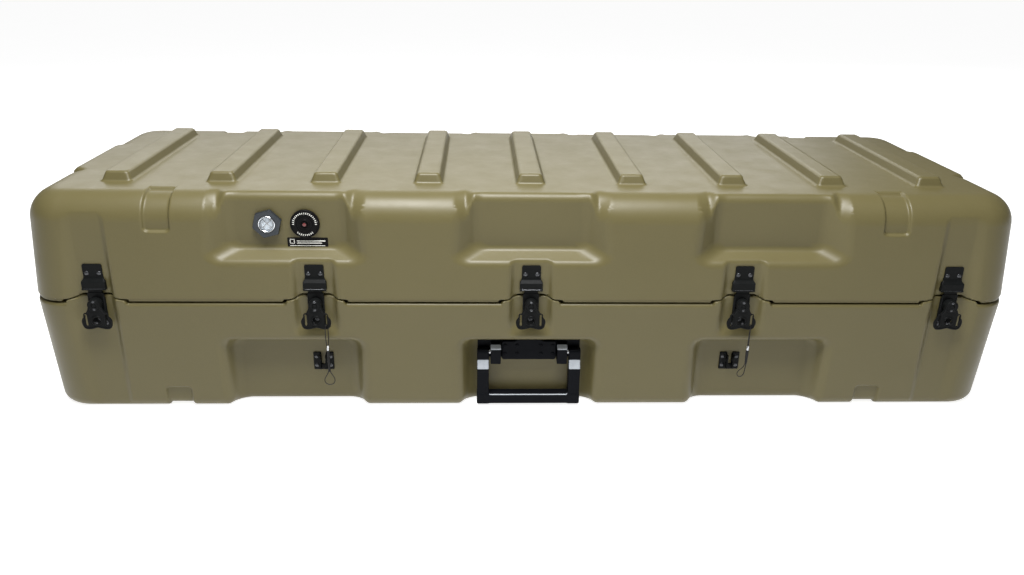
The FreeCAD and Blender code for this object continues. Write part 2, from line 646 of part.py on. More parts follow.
def handle_local_pin(side, play):
    """Hinge pin of one arm, or its bore when play is above zero."""
    inner = HANDLE_BLOCK_X[0] + 1.0
    length = HANDLE_HALF - 3.0 - inner
    start = V(inner if side > 0 else -inner - length, *HANDLE_AXIS)
    return rod(start, X_AXIS, HANDLE_PIN_R + play, length)


def handle_local_bail():
    """Arms and grip hanging from the pins."""
    back = HANDLE_BACK
    v_axis, z_axis = HANDLE_AXIS
    arms = []
    for side in (-1, 1):
        x = sorted((side * HANDLE_ARM_IN, side * HANDLE_HALF))
        eye = rod(V(x[0], v_axis, z_axis), X_AXIS, HANDLE_EYE_R, x[1] - x[0])
        outline = [V(x[0], back, GRIP_Z[0]), V(x[0], HANDLE_FRONT, GRIP_Z[0]),
                   V(x[0], HANDLE_FRONT, HANDLE_RAMP_Z[0]),
                   V(x[0], v_axis - HANDLE_EYE_R, HANDLE_RAMP_Z[1]),
                   V(x[0], v_axis - HANDLE_EYE_R, z_axis), V(x[0], back, z_axis)]
        arms.append(prism(outline, V(x[1] - x[0], 0, 0)).fuse(eye))
    grip = box((-HANDLE_HALF, HANDLE_HALF), (HANDLE_FRONT, back), GRIP_Z)
    play = HANDLE_PIN_BORE_R - HANDLE_PIN_R
    ends = [rod(V(side * (HANDLE_HALF - 3.0), v_axis, z_axis), V(side, 0, 0), HANDLE_PIN_BORE_R, 0.5)
            for side in (-1, 1)]
    bores = [handle_local_pin(side, play) for side in (-1, 1)]
    return grip.fuse(arms).cut(bores + ends)


# ---------------------------------------------------------------- small parts
def make_bracket(x):
    y = FRONT_POCKET_Y
    parts = []
    cuts = []
    for side in (-1, 1):
        flange = sorted((x + side * BRACKET_FIN_X, x + side * BRACKET_HALF))
        fin = sorted((x + side * BRACKET_FIN_X, x + side * (BRACKET_FIN_X + BRACKET_FIN_T)))
        parts.append(box(flange, (y - PLATE_T, y), BRACKET_Z))
        parts.append(box(fin, (y - BRACKET_FIN_OUT, y), (BRACKET_Z[0] + 3, BRACKET_Z[1] - 3)))
    web = box((x - BRACKET_FIN_X, x + BRACKET_FIN_X), (y - PLATE_T, y),
              (BRACKET_Z[0], BRACKET_Z[0] + 10.0))
    cuts += [rivet_hole(px, y - 5, pz, 9) for px, pz in bracket_rivet_places()]
    middle = (BRACKET_Z[0] + BRACKET_Z[1]) / 2
    cuts.append(rod(V(x - BRACKET_HALF, y - BRACKET_FIN_OUT + 5.0, middle), X_AXIS,
                    BRACKET_HOLE_R, 2 * BRACKET_HALF))
    return parts[0].fuse(parts[1:] + [web]).cut(cuts)


def hexagon(x, y, corners, thickness, turn):
    points = []
    for i in range(6):
        angle = math.radians(60 * i + turn)
        points.append(V(x + corners / 2 * math.cos(angle), y, PORT_Z + corners / 2 * math.sin(angle)))
    return prism(points, V(0, thickness, 0))


def disc(x, y, radius, thickness):
    return rod(V(x, y, PORT_Z), Y_AXIS, radius, thickness)


def port_tube(x):
    return disc(x, FRONT_POCKET_Y, PORT_TUBE_R, WALL + PORT_TUBE_END)


def o_ring_seat(x):
    seat = disc(x, FRONT_POCKET_Y - 1.4, PORT_TUBE_R + 5.0, 1.4)
    return seat.cut(disc(x, FRONT_POCKET_Y - 2, PORT_TUBE_R, 3.0))


def make_valve_body():
    flange = disc(VALVE_X, FRONT_POCKET_Y - VALVE_T, VALVE_R, VALVE_T)
    lips = [e for e in flange.Edges if abs(e.Vertexes[0].Point.y - FRONT_POCKET_Y + VALVE_T) < 0.01]
    flange = flange.makeChamfer(1.5, lips)
    bore = disc(VALVE_X, FRONT_POCKET_Y - VALVE_T - 1, BUTTON_BORE_R,
                1 + BUTTON_DEEP + BUTTON_TRAVEL + 1)
    return flange.fuse(port_tube(VALVE_X)).cut([bore, o_ring_seat(VALVE_X)])


def make_valve_button():
    front = FRONT_POCKET_Y - VALVE_T - BUTTON_OUT
    return disc(VALVE_X, front, BUTTON_R, BUTTON_OUT + BUTTON_DEEP)


def make_humidity_plug():
    front = FRONT_POCKET_Y - PLUG_T
    head = hexagon(PLUG_X, front, PLUG_CORNERS, PLUG_T, 15.0)
    seat = disc(PLUG_X, front - 1, PLUG_SEAT_R, 1 + PLUG_SEAT_DEEP)
    return head.fuse(port_tube(PLUG_X)).cut([seat, o_ring_seat(PLUG_X)])


def make_port_nuts():
    nuts = []
    for x in (VALVE_X, PLUG_X):
        y = FRONT_POCKET_Y + WALL
        nut = hexagon(x, y, PORT_NUT_FLATS / math.cos(math.pi / 6), PORT_NUT_T, 0.0)
        nuts.append(nut.cut(disc(x, y - 1, PORT_TUBE_R, PORT_NUT_T + 2)))
    return Part.makeCompound(nuts)


def humidity_layer(offset, thickness, radius):
    """Disc in the plug's seat; offset is its distance in front of the seat's floor."""
    floor_y = FRONT_POCKET_Y - PLUG_T + PLUG_SEAT_DEEP
    return disc(PLUG_X, floor_y - offset - thickness, radius, thickness)


def make_humidity_bezel():
    below = CARD_T + WINDOW_T
    height = PLUG_SEAT_DEEP - below + BEZEL_OUT
    hole = humidity_layer(below - 1, height + 2, BEZEL_IN_R)
    return humidity_layer(below, height, PLUG_SEAT_R).cut(hole)


def make_label_plate():
    y = FRONT_POCKET_Y
    plate = box((LABEL_X - LABEL_HALF[0], LABEL_X + LABEL_HALF[0]), (y - LABEL_T, y),
                (LABEL_Z - LABEL_HALF[1], LABEL_Z + LABEL_HALF[1]))
    corners = [e for e in plate.Edges if abs(e.Vertexes[0].Point.y - e.Vertexes[1].Point.y) > 0.5]
    return plate.makeFillet(1.5, corners)


# ---------------------------------------------------------------- rear hinges
def knuckles(is_lid):
    """Ranges along X of one leaf's knuckles, about the hinge's middle."""
    if is_lid:
        return [(-HINGE_KNUCKLE, HINGE_KNUCKLE)]
    near = HINGE_KNUCKLE + HINGE_KNUCKLE_GAP
    return [(-HINGE_BARREL_HALF, -near), (near, HINGE_BARREL_HALF)]


def make_hinge_leaf(x, is_lid):
    y_floor = HALF_WIDTH - CHANNEL_DEPTH
    y_axis, z_axis = HINGE_AXIS
    up = 1 if is_lid else -1
    near = HINGE_LID_Z if is_lid else HINGE_BASE_Z
    z_range = sorted((near, near + up * HINGE_LEAF_H))
    plate = box((x - HINGE_LEAF_HALF, x + HINGE_LEAF_HALF), (y_floor, y_floor + HINGE_LEAF_T), z_range)
    made = []
    cuts = []
    for a, b in knuckles(is_lid):
        made.append(rod(V(x + a, y_axis, z_axis), X_AXIS, HINGE_R, b - a))
        arm = sorted((z_axis + up * 1.0, near + up * HINGE_LEAF_T * 2))
        made.append(box((x + a, x + b), (y_floor + 0.5, y_axis + 2.0), arm))
    cuts.append(rod(V(x - 40, y_axis, z_axis), X_AXIS, HINGE_BORE_R, 80.0))
    spots = hinge_rivet_places(HINGE_LID_Z if is_lid else HINGE_BASE_Z)
    cuts += [on_wall(rivet_hole(px, CHANNEL_DEPTH - 6, pz, 9), "rear") for px, pz in spots]
    return plate.fuse(made).cut(cuts)


def make_hinge_pins():
    pins = []
    for x in HINGE_X:
        half = HINGE_BARREL_HALF + 1.0
        shank = rod(V(x - half, *HINGE_AXIS), X_AXIS, HINGE_PIN_R, 2 * half)
        heads = [rod(V(x + side * (half - 0.7), *HINGE_AXIS), V(side, 0, 0), 3.6, 1.4)
                 for side in (-1, 1)]
        pins.append(shank.fuse(heads))
    return Part.makeCompound(pins)


# ---------------------------------------------------------------- lanyards
def lanyard_wire(latch_x, tail):
    x = latch_x + WIRE_X
    points = [V(x, y, z) for y, z in WIRE_LOOP]
    points += [V(x + u, y, z) for u, y, z in tail]
    return tube_along(points, WIRE_R)


def lanyard_ferrule(latch_x):
    middle = (WIRE_LOOP[0][0] + WIRE_LOOP[-1][0]) / 2
    return rod(V(latch_x + WIRE_X, middle, FERRULE_Z[0]), V(0, 0, 1), FERRULE_R,
               FERRULE_Z[1] - FERRULE_Z[0])


def lanyard_sleeve(latch_x, foot_z):
    middle = (WIRE_LOOP[0][0] + WIRE_LOOP[-1][0]) / 2
    return rod(V(latch_x + WIRE_X, middle, foot_z), V(0, 0, 1), SLEEVE_R, FERRULE_Z[0] - foot_z)


# ---------------------------------------------------------------- every node
def base_nodes():
    nodes = {"base_shell": make_base_shell(), "gasket": gasket_ring(GASKET_FLOOR, GASKET_TOP)}
    for i, x in enumerate(LATCH_X, 1):
        nodes["latch_plate_%d" % i] = make_latch_plate(x)
    nodes["lock_bracket_left"] = make_bracket(-BRACKET_X)
    nodes["lock_bracket_right"] = make_bracket(BRACKET_X)
    pins = []
    for wall in ("front", "left", "right"):
        nodes["handle_plate_" + wall] = on_wall(handle_local_plate(), wall)
        pins += [on_wall(handle_local_pin(side, 0.0), wall) for side in (-1, 1)]
    nodes["handle_pins"] = Part.makeCompound(pins)
    for name, x in zip(("left", "middle", "right"), HINGE_X):
        nodes["hinge_base_leaf_" + name] = make_hinge_leaf(x, False)
    nodes["hinge_pins"] = make_hinge_pins()
    rivets = [rivet(x, CHANNEL_Y - PLATE_T, z, SHANK) for x, z in latch_plate_rivet_places()]
    rivets += [rivet(x, FRONT_POCKET_Y - PLATE_T, z, SHANK) for x, z in bracket_rivet_places()]
    front = POCKET_FLOOR_V - HANDLE_PLATE_T - HANDLE_BAR_T
    for wall in ("front", "left", "right"):
        rivets += [on_wall(rivet(x, front, z, WALL + HANDLE_PLATE_T + HANDLE_BAR_T), wall)
                   for x, z in handle_rivet_places()]
    rivets += [on_wall(rivet(x, CHANNEL_DEPTH - HINGE_LEAF_T, z, WALL + HINGE_LEAF_T), "rear")
               for x, z in hinge_rivet_places(HINGE_BASE_Z)]
    nodes["base_rivets"] = Part.makeCompound(rivets)
    return nodes


def lid_nodes():
    nodes = {"lid_shell": make_lid_shell(), "label_plate": make_label_plate()}
    for i, x in enumerate(LATCH_X, 1):
        nodes["keeper_%d" % i] = make_keeper(x)
    for name, x in zip(("left", "middle", "right"), HINGE_X):
        nodes["hinge_lid_leaf_" + name] = make_hinge_leaf(x, True)
    rivets = [rivet(x, CHANNEL_Y - PLATE_T, z, SHANK) for x, z in keeper_rivet_places()]
    rivets += [on_wall(rivet(x, CHANNEL_DEPTH - HINGE_LEAF_T, z, WALL + HINGE_LEAF_T), "rear")
               for x, z in hinge_rivet_places(HINGE_LID_Z)]
    nodes["lid_rivets"] = Part.makeCompound(rivets)
    nodes["valve_body"] = make_valve_body()
    nodes["humidity_plug"] = make_humidity_plug()
    nodes["humidity_card"] = humidity_layer(0.0, CARD_T, PLUG_SEAT_R)
    nodes["humidity_window"] = humidity_layer(CARD_T, WINDOW_T, PLUG_SEAT_R)
    nodes["humidity_bezel"] = make_humidity_bezel()
    nodes["port_nuts"] = make_port_nuts()
    nodes["port_o_rings"] = Part.makeCompound([o_ring_seat(x) for x in (VALVE_X, PLUG_X)])
    return nodes


def moving_nodes():
    nodes = {"valve_button": make_valve_button()}
    for i, x in enumerate(LATCH_X, 1):
        nodes["latch_wing_%d" % i] = make_latch_wing(x)
        nodes["latch_link_%d" % i] = make_latch_link(x)
    for wall in ("front", "left", "right"):
        nodes["handle_bail_" + wall] = on_wall(handle_local_bail(), wall)
    lanyards = (("left", -LATCH_STEP, LEFT_TAIL, LEFT_SLEEVE_FOOT),
                ("right", LATCH_STEP, RIGHT_TAIL, RIGHT_SLEEVE_FOOT))
    for name, x, tail, foot_z in lanyards:
        nodes["lanyard_wire_" + name] = lanyard_wire(x, tail)
        nodes["lanyard_ferrule_" + name] = lanyard_ferrule(x)
        nodes["lanyard_sleeve_" + name] = lanyard_sleeve(x, foot_z)
    return nodes


os.makedirs("parts", exist_ok=True)
for made_nodes in (base_nodes(), lid_nodes(), moving_nodes()):
    for node_name, node_shape in made_nodes.items():
        if not node_shape.isValid():
            print("not valid:", node_name)
        node_shape.exportStep("parts/" + node_name + ".step")
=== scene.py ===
"""Looks of a long hard equipment case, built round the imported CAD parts.

Shells and pressed parts are rounded solids: each is a field that is below zero inside, meshed on a
grid and then moved onto the field's surface.  Sizes in fields are millimetres in the object's frame:
X along the case, the latches face -Y, +Z up.  A factor such as 0.857 behind a leaning plane brings its
slope back to one, so that the blends beside it stay round.
"""

import json
import math

import bmesh
import bpy
import numpy as np
from mathutils import Matrix, Vector


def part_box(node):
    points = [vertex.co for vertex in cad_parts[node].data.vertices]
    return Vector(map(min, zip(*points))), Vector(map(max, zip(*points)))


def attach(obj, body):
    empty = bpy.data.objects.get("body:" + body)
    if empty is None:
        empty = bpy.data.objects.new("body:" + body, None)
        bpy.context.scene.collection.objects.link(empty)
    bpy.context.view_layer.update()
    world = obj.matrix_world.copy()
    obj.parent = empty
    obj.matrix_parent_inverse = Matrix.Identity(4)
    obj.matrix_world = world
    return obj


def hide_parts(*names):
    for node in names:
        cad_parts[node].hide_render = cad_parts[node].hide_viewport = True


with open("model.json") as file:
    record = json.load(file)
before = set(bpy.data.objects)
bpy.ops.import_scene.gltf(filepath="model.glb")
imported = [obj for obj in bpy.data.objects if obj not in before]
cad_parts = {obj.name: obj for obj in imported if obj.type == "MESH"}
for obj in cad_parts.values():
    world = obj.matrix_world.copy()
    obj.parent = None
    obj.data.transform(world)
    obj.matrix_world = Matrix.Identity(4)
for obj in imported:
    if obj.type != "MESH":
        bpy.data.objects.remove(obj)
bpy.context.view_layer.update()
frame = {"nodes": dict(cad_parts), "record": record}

MM = 0.001


def middle(node):
    """Middle of a CAD node's box, in millimetres to the nearest micrometre."""
    return [round((low + high) / 2 / MM, 3) for low, high in zip(*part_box(node))]


HALF_LENGTH, HALF_WIDTH = 800.0, 270.0
BASE_TOP, LID_BOTTOM, LID_TOP = 192.5, 195.0, 367.0
BASE_LEAN, LID_LEAN = 8.0 / BASE_TOP, 10.0 / (LID_TOP - LID_BOTTOM)
CORNER_R = 60.0
WALL = 6.0
RIB_STEP, RIB_HEIGHT = 166.5, 16.0
RIB_HALF, RIB_END = 24.0, 181.0
POCKET_STEP, POCKET_DEPTH = 387.0, 32.0
END_POCKET_HALF = 106.0
LID_POCKET_HALF, LID_POCKET_SILL = 129.0, 259.0
BASE_POCKET_HALF, BASE_POCKET_HEAD = 117.0, 126.0
STRAP_X = (562.0, 602.0)
LID_STRAP_Z, BASE_STRAP_Z = 310.0, 39.0
LATCH_PLACES = [middle("keeper_%d" % number)[0] for number in (1, 2, 3, 4, 5)]
LATCH_STEP = LATCH_PLACES[3] - LATCH_PLACES[2]
HINGE_PLACES = [middle("hinge_lid_leaf_" + name)[0] for name in ("left", "middle", "right")]
HINGE_STEP = HINGE_PLACES[2]
CHANNEL_DEPTH, CHANNEL_HALF, HINGE_CHANNEL_HALF = 10.0, 35.0, 42.0
COLUMN_X = (660.0, 734.0)
TAB_HALF = 48.5
HUB_Z = 191.5


# ---- fields
def meet(a, b, r):
    """Inside both, with the edge between them rounded."""
    return np.minimum(np.maximum(a, b), -r) + np.hypot(np.maximum(a + r, 0), np.maximum(b + r, 0))


def join(a, b, r):
    """Inside either, with a fillet between them."""
    return np.maximum(np.minimum(a, b), r) - np.hypot(np.maximum(r - a, 0), np.maximum(r - b, 0))


def cut(a, b, r):
    """Inside a but not b, with a rounded edge."""
    return meet(a, -b, r)


def folded(x, step, count):
    """Distance along x from the nearest of the places 0, +-step, ... +-count * step."""
    return x - step * np.clip(np.round(x / step), -count, count)


def smooth(t):
    """Step from 0 to 1 without corners."""
    t = np.clip(t, 0, 1)
    return t * t * (3 - 2 * t)


def slab(value, low, high):
    """Below zero where the value is between low and high."""
    return np.maximum(low - value, value - high)


def outline(u, w, points):
    """Signed distance to a closed outline, below zero inside."""
    best = None
    inside = None
    for (x0, y0), (x1, y1) in zip(points, points[1:] + points[:1]):
        ex, ey = x1 - x0, y1 - y0
        px, py = u - x0, w - y0
        t = np.clip((px * ex + py * ey) / (ex * ex + ey * ey), 0, 1)
        d = (px - ex * t) ** 2 + (py - ey * t) ** 2
        crosses = (w >= y0) != (w >= y1)
        slope = ex / ey if ey else 0.0
        flip = crosses & (px < slope * py)
        best = d if best is None else np.minimum(best, d)
        inside = flip if inside is None else inside ^ flip
    return np.where(inside, -1.0, 1.0) * np.sqrt(best)


def curve_through(points, steps):
    """Points on a smooth open curve through the given ones."""
    pts = [np.array(p, float) for p in points]
    pts = [2 * pts[0] - pts[1]] + pts + [2 * pts[-1] - pts[-2]]
    made = []
    for a, b, c, d in zip(pts, pts[1:], pts[2:], pts[3:]):
        for i in range(steps):
            t = i / steps
            made.append(0.5 * (2 * b + (c - a) * t + (2 * a - 5 * b + 4 * c - d) * t * t
                               + (3 * b - a - 3 * c + d) * t ** 3))
    made.append(pts[-2])
    return [tuple(p) for p in made]


# ---- meshing
GRID_SAMPLES = 8000
SNAP_ROUNDS = 4


def lines(low, high, coarse, fine, places, reach, sharp=()):
    """Grid lines from low to high, closer together near the places and closest at the sharp ones."""
    t = np.linspace(low, high, GRID_SAMPLES)
    near = np.min(np.abs(t[:, None] - np.array(places)[None, :]), axis=1)
    step = fine + (coarse - fine) * smooth((near - reach * 0.4) / reach)
    finest = fine * 0.4
    for place in sharp:
        away = smooth((np.abs(t - place) - 2.5) / 9.0)
        step = np.minimum(step, finest + (coarse - finest) * away)
    total = np.concatenate([[0], np.cumsum(np.diff(t) / step[1:])])
    return np.interp(np.linspace(0, total[-1], int(math.ceil(total[-1])) + 1), total, t)


CORNERS = [(i, j, k) for i in (0, 1) for j in (0, 1) for k in (0, 1)]
EDGES = [(a, b) for a in range(8) for b in range(a + 1, 8)
         if sum(abs(p - q) for p, q in zip(CORNERS[a], CORNERS[b])) == 1]


def slopes(field, p, step):
    """Gradient of the field at each point, by differences over a step."""
    g = np.empty_like(p)
    for axis in range(3):
        d = np.zeros(3)
        d[axis] = step
        g[:, axis] = (field(*(p + d).T) - field(*(p - d).T)) / (2 * step)
    return g


def net(field, xs, ys, zs):
    """Vertices, quads and normals of the field's zero surface on a grid."""
    shape = (len(xs), len(ys), len(zs))
    values = np.broadcast_to(field(xs[:, None, None], ys[None, :, None], zs[None, None, :]), shape)
    inside = values < 0
    cells = tuple(n - 1 for n in shape)
    some = np.zeros(cells, bool)
    every = np.ones(cells, bool)
    for i, j, k in CORNERS:
        part = inside[i:i + cells[0], j:j + cells[1], k:k + cells[2]]
        some |= part
        every &= part
    cell = np.argwhere(some & ~every)
    number = np.full(cells, -1, np.int64)
    number[tuple(cell.T)] = np.arange(len(cell))
    corner = np.stack([values[tuple((cell + c).T)] for c in CORNERS], 1)
    total = np.zeros((len(cell), 3))
    hits = np.zeros(len(cell))
    for a, b in EDGES:
        va, vb = corner[:, a], corner[:, b]
        crosses = (va < 0) != (vb < 0)
        t = np.where(crosses, va / np.where(crosses, va - vb, 1.0), 0.0)[:, None]
        point = np.array(CORNERS[a]) + t * (np.array(CORNERS[b]) - np.array(CORNERS[a]))
        total += point * crosses[:, None]
        hits += crosses
    share = total / hits[:, None]
    size = np.empty_like(share)
    p = np.empty_like(share)
    for axis, grid in enumerate((xs, ys, zs)):
        size[:, axis] = np.diff(grid)[cell[:, axis]]
        p[:, axis] = grid[cell[:, axis]] + share[:, axis] * size[:, axis]
    start = p.copy()
    for _ in range(SNAP_ROUNDS):
        g = slopes(field, p, 0.05)
        move = -field(*p.T)[:, None] * g / np.maximum((g * g).sum(1), 0.05)[:, None]
        p = start + np.clip(p + move - start, -0.6 * size, 0.6 * size)
    faces = []
    for axis in range(3):
        low = [slice(None)] * 3
        high = [slice(None)] * 3
        low[axis], high[axis] = slice(0, -1), slice(1, None)
        a, b = inside[tuple(low)], inside[tuple(high)]
        u, v = (axis + 1) % 3, (axis + 2) % 3
        for flip, chosen in ((False, a & ~b), (True, ~a & b)):
            at = np.argwhere(chosen)
            at = at[(at[:, u] > 0) & (at[:, v] > 0) & (at[:, u] < cells[u]) & (at[:, v] < cells[v])]
            ring = []
            for du, dv in ((-1, -1), (0, -1), (0, 0), (-1, 0)):
                c = at.copy()
                c[:, u] += du
                c[:, v] += dv
                ring.append(number[tuple(c.T)])
            quad = np.stack(ring, 1)
            faces.append(quad[:, ::-1] if flip else quad)
    return p, np.concatenate(faces), unit_normals(field, p)


def unit_normals(field, p):
    """Outward directions of the field at each point."""
    g = slopes(field, p, 0.15)
    return g / np.maximum(np.linalg.norm(g, axis=1), 1e-9)[:, None]


def shown(name, data):
    """New object in the scene."""
    made = bpy.data.objects.new(name, data)
    bpy.context.scene.collection.objects.link(made)
    return made


def mesh_piece(name, verts, faces, normals, materials):
    """Mesh object from arrays in millimetres, shaded with the given normals."""
    mesh = bpy.data.meshes.new(name)
    mesh.vertices.add(len(verts))
    mesh.vertices.foreach_set("co", (verts * MM).astype(np.float32).ravel())
    mesh.loops.add(faces.size)
    mesh.loops.foreach_set("vertex_index", faces.astype(np.int32).ravel())
    mesh.polygons.add(len(faces))
    mesh.polygons.foreach_set("loop_start", np.arange(len(faces), dtype=np.int32) * faces.shape[1])
    mesh.update(calc_edges=True)
    mesh.validate()
    mesh.polygons.foreach_set("use_smooth", np.ones(len(mesh.polygons), bool))
    if normals is not None and len(mesh.vertices) == len(normals):
        mesh.normals_split_custom_set_from_vertices(normals.astype(np.float32))
    for m in materials:
        mesh.materials.append(m)
    return shown(name, mesh)


def field_piece(name, field, box, step, materials):
    """Piece from a field inside a box, on an even grid."""
    grids = [np.linspace(a, b, max(int((b - a) / step) + 1, 3)) for a, b in box]
    verts, faces, normals = net(field, *grids)
    return mesh_piece(name, verts, faces, normals, materials)


def dress(piece, body, slot, *nodes):
    """Put the piece on its body, in place of the CAD nodes. The slot is not used."""
    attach(piece, body)
    if nodes:
        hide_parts(*nodes)
    return piece


def twin(piece, name, x):
    """The same mesh moved along X, in millimetres."""
    other = shown(name, piece.data)
    other.location = (x * MM, 0.0, 0.0)
    return other


def lathe_mesh(points, centre, axis, segments):
    """Vertices and faces of a profile (radius, distance along axis) turned round an axis."""
    axis = np.array(axis, float)
    side = np.cross(axis, [0.3, 0.5, 0.81])
    side /= np.linalg.norm(side)
    other = np.cross(axis, side)
    centre = np.array(centre, float)
    angles = np.arange(segments) * 2 * math.pi / segments
    ring = np.cos(angles)[:, None] * side + np.sin(angles)[:, None] * other
    verts = [centre + axis * h + ring * max(r, 1e-4) for r, h in points]
    faces = []
    for first in range(0, (len(points) - 1) * segments, segments):
        for j in range(segments):
            k = (j + 1) % segments
            faces.append((first + j, first + k, first + segments + k, first + segments + j))
    return np.concatenate(verts), np.array(faces)


def rounded_profile(points, radius, steps=3):
    """Profile with its inner corners rounded."""
    pts = [np.array(p, float) for p in points]
    made = [tuple(pts[0])]
    for a, b, c in zip(pts, pts[1:], pts[2:]):
        la, lc = np.linalg.norm(a - b), np.linalg.norm(c - b)
        r = min(radius, 0.45 * la, 0.45 * lc)
        p, q = b + (a - b) / la * r, b + (c - b) / lc * r
        for i in range(steps + 1):
            t = i / steps
            made.append(tuple((1 - t) ** 2 * p + 2 * t * (1 - t) * b + t * t * q))
    made.append(tuple(pts[-1]))
    return made


def lathe_piece(name, parts, materials, segments):
    """One mesh of several turned profiles; each part is (profile, centre, axis)."""
    verts, faces, count = [], [], 0
    for points, centre, axis in parts:
        v, f = lathe_mesh(points, centre, axis, segments)
        verts.append(v)
        faces.append(f + count)
        count += len(v)
    piece = mesh_piece(name, np.concatenate(verts), np.concatenate(faces), None, materials)
    bm = bmesh.new()
    bm.from_mesh(piece.data)
    bmesh.ops.remove_doubles(bm, verts=bm.verts, dist=2e-6)
    bmesh.ops.recalc_face_normals(bm, faces=bm.faces)
    bm.to_mesh(piece.data)
    bm.free()
    piece.data.polygons.foreach_set("use_smooth", np.ones(len(piece.data.polygons), bool))
    return piece


# ---- materials
class Nodes:
    """Small helper round one material's node tree."""

    def __init__(self, name):
        self.material = bpy.data.materials.new(name)
        self.material.use_nodes = True
        self.tree = self.material.node_tree
        self.shader = self.tree.nodes["Principled BSDF"]
        self.coords = self.tree.nodes.new("ShaderNodeTexCoord")

    def node(self, kind, **values):
        made = self.tree.nodes.new("ShaderNode" + kind)
        for key, value in values.items():
            if hasattr(made, key) and not key[0].isupper():
                setattr(made, key, value)
            else:
                made.inputs[key.replace("_", " ")].default_value = value
        return made

    def link(self, a, b):
        self.tree.links.new(a, b)

    def noise(self, scale, detail=4.0, roughness=0.5):
        made = self.node("TexNoise", Scale=scale, Detail=detail, Roughness=roughness)
        self.link(self.coords.outputs["Object"], made.inputs["Vector"])
        return made.outputs["Fac"]

    def ramp(self, fac, stops):
        """Colour or grey from (place, value) stops."""
        made = self.node("ValToRGB")
        ramp = made.color_ramp
        while len(ramp.elements) < len(stops):
            ramp.elements.new(0.5)
        for element, (place, value) in zip(ramp.elements, stops):
            element.position = place
            element.color = value if hasattr(value, "__len__") else (value, value, value, 1)
        self.link(fac, made.inputs["Fac"])
        return made.outputs["Color"]

    def mix(self, fac, a, b):
        """Blend of two colours, each an output or a constant."""
        made = self.node("Mix", data_type="RGBA")
        ends = [s for s in made.inputs if s.type == "RGBA"]
        for end, value in zip(ends, (a, b)):
            if hasattr(value, "__len__"):
                end.default_value = value
            else:
                self.link(value, end)
        self.link(fac, [s for s in made.inputs if s.name == "Factor" and s.type == "VALUE"][0])
        return [s for s in made.outputs if s.type == "RGBA"][0]

    def bump(self, heights):
        """Bump from (height output, strength, distance in metres), one over the other."""
        normal = None
        for height, strength, distance in heights:
            made = self.node("Bump", Strength=strength, Distance=distance)
            self.link(height, made.inputs["Height"])
            if normal is not None:
                self.link(normal, made.inputs["Normal"])
            normal = made.outputs["Normal"]
        self.link(normal, self.shader.inputs["Normal"])


def linear(r, g, b):
    """Linear colour from 0-255 display values."""
    def one(c):
        c /= 255
        return c / 12.92 if c < 0.04045 else ((c + 0.055) / 1.055) ** 2.4

    return (one(r), one(g), one(b), 1.0)


def finish(name, colour, roughness, metallic=0.0, spread=0.12, grain=(1500.0, 0.1, 0.0001),
           rough_spread=0.1, patch=14.0, coat=0.0, extra=(), gloss=0.5):
    """Material with patchy colour and roughness and a fine surface grain.

    Grain and each extra are a noise scale, a bump strength and a bump distance in metres.
    """
    n = Nodes(name)
    dark = tuple(c * (1 - spread) for c in colour[:3]) + (1,)
    light = tuple(min(c * (1 + spread), 1) for c in colour[:3]) + (1,)
    lightest = tuple(min(c * (1 + spread * 1.3), 1) for c in colour[:3]) + (1,)
    scale, strength, distance = grain
    tint = n.ramp(n.noise(patch, 5.0, 0.6), [(0.3, dark), (0.7, light)])
    specks = n.ramp(n.noise(scale * 0.7, 2.0), [(0.35, 0.0), (0.75, 1.0)])
    n.link(n.mix(specks, tint, lightest), n.shader.inputs["Base Color"])
    n.link(n.ramp(n.noise(patch * 3.1, 6.0, 0.65),
                  [(0.3, max(roughness - rough_spread, 0.02)), (0.7, min(roughness + rough_spread, 1))]),
           n.shader.inputs["Roughness"])
    n.shader.inputs["Metallic"].default_value = metallic
    n.shader.inputs["Coat Weight"].default_value = coat
    n.shader.inputs["Specular IOR Level"].default_value = gloss
    heights = [(n.noise(scale, 3.0), strength, distance)]
    heights += [(n.noise(wave, 2.0), height, width) for wave, height, width in extra]
    n.bump(heights)
    return n.material


shell_material = finish("shell_polyethylene", linear(79, 73, 46), 0.41, spread=0.035, gloss=0.25,
                        grain=(620.0, 0.10, 0.0003), rough_spread=0.05, patch=6.0,
                        extra=[(22.0, 0.05, 0.004)])
black_material = finish("black_powder_coat", linear(13, 14, 14), 0.38, spread=0.2,
                        grain=(1500.0, 0.2, 0.0001), rough_spread=0.08, patch=60.0, gloss=0.05)
# Rivet metal, also painted on the keepers' rolls as a highlight.
rivet_and_highlight_material = finish("plated_rivet", linear(62, 63, 65), 0.3, metallic=0.85, spread=0.25,
                        grain=(1800.0, 0.1, 0.00006), patch=120.0)
steel_material = finish("plain_steel", linear(150, 151, 153), 0.32, metallic=1.0, spread=0.15,
                        grain=(1500.0, 0.1, 0.00006), patch=80.0)
handle_material = finish("textured_nylon", linear(11, 12, 15), 0.42, spread=0.2,
                         grain=(700.0, 0.35, 0.0003), patch=50.0, gloss=0.03)
# Light grey painted where light catches the handles: a painted highlight, not a metal of its own.
highlight_grey_material = finish("grained_grey_metal", linear(134, 139, 144), 0.5,
                       grain=(900.0, 0.5, 0.0003), patch=140.0)
rubber_material = finish("black_rubber", linear(18, 18, 18), 0.7, spread=0.15,
                         grain=(900.0, 0.25, 0.0003), patch=50.0, gloss=0.2)
valve_material = finish("satin_black", linear(11, 11, 11), 0.35, spread=0.2, patch=70.0, gloss=0.05)
mark_material = finish("printed_white", linear(176, 176, 170), 0.55, spread=0.1, patch=90.0)
button_material = finish("red_plastic", linear(88, 16, 14), 0.3, spread=0.12,
                         grain=(1200.0, 0.1, 0.0001), patch=90.0, coat=0.3)
plug_material = finish("slate_anodised", linear(38, 42, 46), 0.38, metallic=0.45, spread=0.15,
                       grain=(1500.0, 0.15, 0.0001), patch=90.0)
